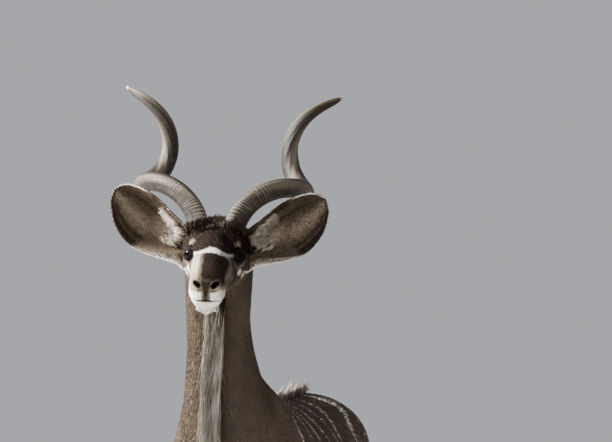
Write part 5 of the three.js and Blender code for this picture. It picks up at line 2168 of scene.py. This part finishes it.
    def ear_hair(self) -> None:
        """Pale hair that fans out over each ear's opening, from its upper edge near the head."""
        rng = self.random
        rows = []
        for ear in self.ear_list:
            mirror = np.array([ear.side.value, 1, 1])
            forward = self.stance.forward
            for _ in range(self.ear_locks):
                share = rng.random()
                t = 0.06 + 0.34 * share + rng.uniform(-0.04, 0.04)
                v = rng.uniform(-0.5, 0.82) if share < 0.4 else rng.uniform(0.5, 0.86)
                spot = ear.sheet(np.array([[t]]), np.array([[v]]))[0, 0]
                size = rng.uniform(20, 36) * (1 - 0.3 * share)
                way = 0.9 * ear.along - 0.42 * ear.up * (v + 0.1) + forward * rng.uniform(0.1, 0.45)
                tip = spot + unit(way) * size
                middle = spot + (tip - spot) * 0.5 + forward * 0.16 * size
                rows.append(tuple(vector * mirror for vector in (spot, middle, tip, ear.up)))
        pale = HairTone({"pale": 0.4, "dark": 0.25}, {"pale": 0.65, "white": 0.25}, 0.4)
        self.piece("ear_hair", Growth(Locks.gather(rows, 6, 4), 9, 0.85, 0.4, 0.0, pale))


# Horns, hooves and eyes


@dataclass
class Horn:
    """A horn that winds round a straight axis, ridged at the base and smooth above.

    A row of thickness holds a share of the horn's length and its radius there.
    """

    stance: Stance
    side: Side
    base: Triple = (54.0, -57.0, 68.0)
    length: float = 590.0
    outwards: float = math.radians(8.1)
    rise: float = math.radians(24.8)
    spiral_radius: float = 64.6
    spiral_start: float = math.radians(-122.1)
    spiral_turns: float = 1.211
    spiral_depth: float = 1.22
    tip_spread: float = 141.0
    root: float = 14.0
    sides: int = 48
    thickness: Table = (
        (0, 31.5), (0.3, 29.5), (0.6, 28), (0.7, 22.5), (0.8, 17.5), (0.87, 14), (0.93, 10.5), (1, 1.2),
    )

    def spoke(self, u: Array) -> tuple[Array, Array]:
        """How far the middle line lies off the axis, and the direction away from the axis."""
        rise = math.cos(self.rise)
        aside, ahead = math.sin(self.outwards), math.cos(self.outwards)
        axis = np.array([rise * aside, -rise * ahead, math.sin(self.rise)])
        out = np.array([ahead, aside, 0.0])
        out = unit(out - axis * (out @ axis))
        back = np.cross(axis, out)
        back = -back if back[1] > 0 else back
        self.axis, self.out = axis, out
        phase = self.spiral_start + self.spiral_turns * 2 * math.pi * u**1.307
        r = self.spiral_radius * (1 - u) ** 0.541 * (1 + 0.563 * np.sin(math.pi * u))
        c, s = np.cos(phase)[:, None], np.sin(phase)[:, None]
        return (out * c + back * s * self.spiral_depth) * r[:, None], out * c + back * s

    def middle(self, t: Array) -> tuple[Array, Array]:
        """The middle line and the direction away from the axis, in the head's own directions."""
        shift, away = self.spoke(t)
        start = self.spoke(np.zeros(1))[0]
        bent = self.out * self.tip_spread * (t * t)[:, None]
        return np.array(self.base) + self.axis * (self.length * t)[:, None] + shift - start + bent, away

    def shell(self) -> Shell:
        """The horn as a closed tube.

        Its section is round with a blunt keel. Waves across the horn, uneven and bent, are
        highest at the base and die out by its middle; long shallow flutes run with the keel. The
        lowest millimetres taper into the skin.
        """
        fine = np.linspace(0, 0.9995, 3000)
        path = self.middle(fine)[0]
        far = np.concatenate([[0.0], np.cumsum(np.linalg.norm(np.diff(path, axis=0), axis=-1))])
        spacing = 1.9 + 2.4 * smooth(far / far[-1] / 0.7)
        count = np.concatenate([[0.0], np.cumsum(np.diff(far) / spacing[1:])])
        t = np.interp(np.arange(int(count[-1]) + 1), count, fine)
        t[-1] = fine[-1]
        reached = np.interp(t, fine, far)
        middle, away = self.middle(t)
        after = self.middle(np.minimum(t + 0.01, 0.9999))[0]
        along = unit(after - self.middle(np.maximum(t - 0.01, 0))[0])
        keel = flat_on(away, along)
        across = np.cross(along, keel)
        middle = middle - along * (self.root * (1 - smooth(reached / 40)))[:, None]
        angle = turns(self.sides)
        far = reached[:, None]
        radius = Stations([[r] for _, r in self.thickness], [k for k, _ in self.thickness])(t)[:, 0]
        r = radius[:, None] * (0.92 + 0.24 * np.maximum(0, np.cos(angle)) ** 7)
        skew = 0.55 * np.sin(angle + 0.8) + 0.28 * np.sin(3 * angle + far / 55)
        beat = reached + 3.2 * np.sin(reached / 31) + 2.1 * np.sin(reached / 13.7 + 1)
        phase = beat[:, None] / 7.5 * 2 * math.pi + 2.6 * skew
        wave = 0.7 * np.sin(phase) + 0.3 * np.sin(1.618 * phase + 2 * np.sin(2 * angle))
        fade = fall(t, 0.06, 0.5)
        patchy = np.clip(0.5 + 0.6 * np.sin(far / 17 + 2 * angle) * np.sin(far / 41 - angle), 0.1, 1)
        ridges = 0.75 * fade[:, None] * patchy * wave
        flutes = 0.5 * fall(t, 0.75, 0.2)[:, None] * np.sin(9 * angle + 0.6 * np.sin(far / 40))
        r = r + (ridges + flutes) * np.minimum(1, radius / 20)[:, None]
        r = r * (1 - 0.3 * (1 - smooth(reached / 9)))[:, None]
        spokes = keel[:, None, :] * np.cos(angle)[None, :, None]
        spokes = spokes + across[:, None, :] * np.sin(angle)[None, :, None]
        p = middle[:, None, :] + spokes * r[..., None]
        p[..., 0] *= self.side.value
        rings = self.stance.head(p[..., 0], p[..., 1], p[..., 2])
        marks = {
            "reach": t[:, None],
            # ridge crests and keel painted paler: partly real wear, partly painted highlight
            "wear": np.clip(0.6 * (wave * patchy - 0.3) * fade[:, None] + 0.5 * np.cos(angle) ** 6, 0, 1),
            "far": far,
            "round": angle[None, :] * 26,
        }
        return closed_tube(rings, marks)

    def build(self, finish: Material) -> None:
        """Makes the piece in place of its solid."""
        shell = self.shell()
        mesh = shell.mesh(f"horn_{self.side.word}_look", self.stance, "reach", "wear")
        mark(mesh, "grow", xyz(shell.marks["far"], shell.marks["round"], 0.0))
        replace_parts(show(mesh, finish), f"horn_{self.side.word}")


@dataclass
class Foot:
    """The two toes and the two dewclaws of one leg."""

    stance: Stance
    limb: Limb
    top: float = 50.0
    slope: float = 0.35
    gap: float = 5.0
    width: float = 30.0
    clear: float = 0.3
    sides: int = 40
    rings: int = 22

    def toe(self, toe: int) -> Shell:
        """A toe: a flat-soled wedge, pointed in front, up to the slanting edge of the hair."""
        x0, y0 = self.limb.foot
        angle = turns(self.sides, 0.5)
        c, s = rounded_box(angle, 2.6)
        even = np.linspace(0.08, 0.97, self.rings - 4)
        share = np.concatenate([[0.0, 0.004, 0.03], even, [1.0]])[:, None]
        z = share * self.top
        # the height of the hair's edge hangs on y, and y on the height, so both are worked out in turns
        for _ in range(4):
            up = z / 72
            front = y0 - 70 + 30 * up
            back = y0 + 38 - 8 * up
            y = (front + back) / 2 + s * (back - front) / 2
            z = share * (self.top - self.slope * (y - y0) - self.clear)
        edge = 1 - 0.05 * bell(share / 0.02) - 0.06 * ramp(share, 0.96, 0.04)
        swell = 1 + 0.03 * bell(share, 0.9, 0.08) - 0.012 * bell(share, 0.8, 0.03)
        wide = self.width * (1 - 0.1 * up) * edge * swell
        narrow = 1 - 0.45 * smooth(-s)
        x = x0 + toe * ((self.gap + self.width * (1 - 0.1 * up)) / 2 + c * wide * narrow / 2)
        y = y0 + (y - y0) * (0.5 + 0.5 * edge) + self.limb.stride
        marks = {"low": 1 - share, "up": z, "round": angle[None, :] * 20}
        return closed_tube(xyz(self.limb.side.value * x, y, z), marks)

    def claw(self, toe: int) -> Shell:
        """A dewclaw: a blunt cone that points down behind the fetlock."""
        x0, y0, z0, _, deep = self.limb.rows[-5]
        s = np.linspace(0, 1, 12)[:, None]
        angle = turns(20)[None, :]
        r = 11.5 * np.sqrt(np.clip(1.02 - (0.25 + 0.75 * s) ** 3, 0, 1)) * (1 - 0.25 * s)
        x = x0 + toe * (14 + 3 * s) + r * np.cos(angle)
        y = y0 + deep - 12 + 15 * s + 0.6 * r * np.sin(angle)
        z = z0 - 14 - 24 * s + 0.8 * r * np.sin(angle)
        p = self.limb.swung(xyz(self.limb.side.value * x, y, z))
        return closed_tube(p, {"low": s, "up": z, "round": angle * 10})

    def build(self, finish: Material) -> None:
        """Makes the toes in place of their solids, and the dewclaws."""
        name = f"{self.limb.name}_{self.limb.side.word}"
        for toe, where in ((1, "outer"), (-1, "inner")):
            for kind, shell in (("hoof", self.toe(toe)), ("dewclaw", self.claw(toe))):
                mesh = shell.mesh(f"{kind}_{name}_{where}_look", self.stance, "low")
                mark(mesh, "rings", xyz(shell.marks["up"], shell.marks["round"], 0.0))
                piece = show(mesh, finish)
                if kind == "hoof":
                    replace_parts(piece, f"hoof_{name}_{where}")


@dataclass
class Eye:
    """An eyeball that bulges a little in front, round a wide pupil that lies level."""

    stance: Stance
    lids: Lids
    radius: float = 21.0
    bulge: float = 0.7
    pupil: tuple[float, float] = (9.5, 5.2)

    def build(self, finish: Material) -> None:
        """Makes the eyeball in place of its solid."""
        across, up, out = self.lids.axes()
        a = math.pi * np.linspace(0, 1, 72)[1:-1, None] ** 1.25
        b = turns(64)[None, :]
        r = (self.radius - 0.1 + self.bulge * bell(a / 0.5))[..., None]
        side, high = np.sin(a) * np.cos(b), np.sin(a) * np.sin(b)
        p = r * (np.cos(a)[..., None] * out + side[..., None] * across + high[..., None] * up)
        level = np.hypot(side * self.radius / self.pupil[0], high * self.radius / self.pupil[1])
        ahead = np.cos(a) > 0
        inside = np.where(ahead, fall(level, 0.8, 0.4), 0.0)
        beyond = ramp(np.degrees(a), 36, 6)
        shell = closed_tube(p + self.stance.eye(self.lids.side), {"pupil": np.maximum(inside, beyond)})
        mesh = shell.mesh(f"eye_{self.lids.side.word}_look", self.stance, "pupil")
        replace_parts(show(mesh, finish), f"eye_{self.lids.side.word}")


# The studio


@dataclass(frozen=True)
class Lamp:
    """A square lamp, placed by metres to the right, ahead and up of the eyes, as the camera sees it."""

    name: str
    place: Triple
    size: float
    power: float

    def build(self, at: Array, aim: Array) -> None:
        """Makes the lamp at one point, facing another."""
        light = bpy.data.lights.new(self.name, "AREA")
        light.size = self.size
        light.energy = self.power
        holder = bpy.data.objects.new(self.name, light)
        holder.location = at
        holder.rotation_euler = Vector(aim - at).to_track_quat("-Z", "Y").to_euler()
        bpy.context.scene.collection.objects.link(holder)


@dataclass(frozen=True)
class Studio:
    """Floor, light and camera."""

    look: str = "AgX - Medium High Contrast"
    azimuth: float = math.radians(12.0)
    eyes: Triple = (0.0249, -0.7327, 1.6977)
    distance: float = 45.0
    width: float = 1.714
    right: float = 0.257
    above: float = 0.095
    sensor: float = 36.0
    far_clip: float = 200.0
    floor_half: float = 30.0
    lamps: tuple[Lamp, ...] = (
        Lamp("key", (-5.7, 0.5, 3.0), 1.5, 2050.0),
        Lamp("fill", (-1.5, -6.0, 1.5), 4.0, 330.0),
    )
    sky: float = 0.42
    sky_colour: tuple[float, ...] = (0.93, 0.95, 1.0, 1.0)

    def build(self) -> None:
        """Sets up the floor, the lamps, the sky and the camera."""
        r = np.array([math.cos(self.azimuth), math.sin(self.azimuth), 0.0])
        ahead = np.array([-math.sin(self.azimuth), math.cos(self.azimuth), 0.0])
        up = np.array([0.0, 0.0, 1.0])
        eyes = np.array(self.eyes)
        target = eyes + r * self.right + up * self.above
        self.floor()
        for lamp in self.lamps:
            right, onward, high = lamp.place
            lamp.build(eyes + r * right + ahead * onward + up * high, eyes)
        world = bpy.data.worlds.new("sky")
        world.use_nodes = True
        inputs = world.node_tree.nodes["Background"].inputs
        inputs["Color"].default_value = self.sky_colour
        inputs["Strength"].default_value = self.sky
        bpy.context.scene.world = world
        bpy.context.scene.view_settings.look = self.look
        camera = bpy.data.cameras.new("camera")
        camera.sensor_width = self.sensor
        camera.lens = self.sensor * self.distance / self.width
        camera.clip_end = self.far_clip
        holder = bpy.data.objects.new("camera", camera)
        holder.location = target - ahead * self.distance
        holder.rotation_euler = (math.pi / 2, 0.0, self.azimuth)
        bpy.context.scene.collection.objects.link(holder)
        bpy.context.scene.camera = holder

    def floor(self) -> None:
        """A wide floor under the hooves."""
        h = self.floor_half
        points = np.array([(-h, -h, 0), (h, -h, 0), (h, h, 0), (-h, h, 0)], float)
        mesh = mesh_from("floor", points, [np.array([[0, 1, 2, 3]])])
        mesh.materials.append(FloorFinish().build())
        piece = bpy.data.objects.new("floor", mesh)
        bpy.context.scene.collection.objects.link(piece)


# The whole animal


class Kudu:
    """The whole bull: its skin, its hair, and its horns, hooves and eyes."""

    def __init__(self) -> None:
        """Sets the stance and makes the parts' shapes."""
        self.stance = Stance()
        self.body = BodyTube(self.stance)
        self.limbs = all_limbs()
        self.tail = Tail()
        self.ears = [Ear(self.stance, side) for side in Side]
        self.lids = [Lids(self.stance, side) for side in Side]
        self.skin = Skin(self.body, self.limbs, self.tail, self.ears, self.lids)
        self.markings = Markings(self.stance, self.body)

    def show_skin(self) -> None:
        """The skin, in place of all the solids of flesh."""
        skin = self.skin
        spots = skin.spots()
        mesh = mesh_from("skin", self.stance.placed(skin.points), [skin.tris])
        for key, value in self.markings(spots).items():
            mark(mesh, key, value)
        mark(mesh, "lie", self.streak_place(spots))
        flesh = ["head", "neck", "torso", "tail"]
        for side in Side:
            flesh += [f"{part}_{side.word}" for part in ("foreleg", "hindleg", "ear")]
        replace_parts(show(mesh, CoatFinish().build("skin", False)), *flesh)

    def streak_place(self, spots: Spots) -> Array:
        """How far along and how far across the hair each place lies, for streaks in the skin."""
        p, n = spots.points, spots.normals
        half = np.maximum(self.body.at(spots.station)[:, 4], 20)
        along = ProfileLine(self.body, True).distance(spots.station)
        across = np.arctan2(p[:, 0], self.body.height_in(p, spots.station)) * half
        leg = spots.on(Part.FORELEG, Part.HINDLEG) > 0
        along = np.where(leg, p[:, 2], along)
        across = np.where(leg, np.arctan2(n[:, 1], n[:, 0]) * 34, across)
        ear = spots.on(Part.EAR) > 0
        along = np.where(ear, spots.first * Ear.length, along)
        across = np.where(ear, spots.second * 80, across)
        return xyz(along, across, 0.0)

    def build(self) -> None:
        """Makes every piece."""
        self.show_skin()
        hair = CoatFinish().build("hair", True)
        Coat(self.skin, self.markings, hair).grow_all()
        long_hair = LongHair(self.skin, self.tail, self.ears, hair)
        long_hair.crest_and_fringe()
        long_hair.head_hair()
        long_hair.ear_hair()
        horn, hoof, eye = HornFinish().build(), HoofFinish().build(), EyeFinish().build()
        for side in Side:
            Horn(self.stance, side).build(horn)
        for limb in self.limbs:
            Foot(self.stance, limb).build(hoof)
        for lids in self.lids:
            Eye(self.stance, lids).build(eye)


def main() -> None:
    """Builds the animal and the studio."""
    logging.basicConfig(level=logging.INFO, format="%(message)s")
    Kudu().build()
    Studio().build()


if __name__ == "__main__":
    main()
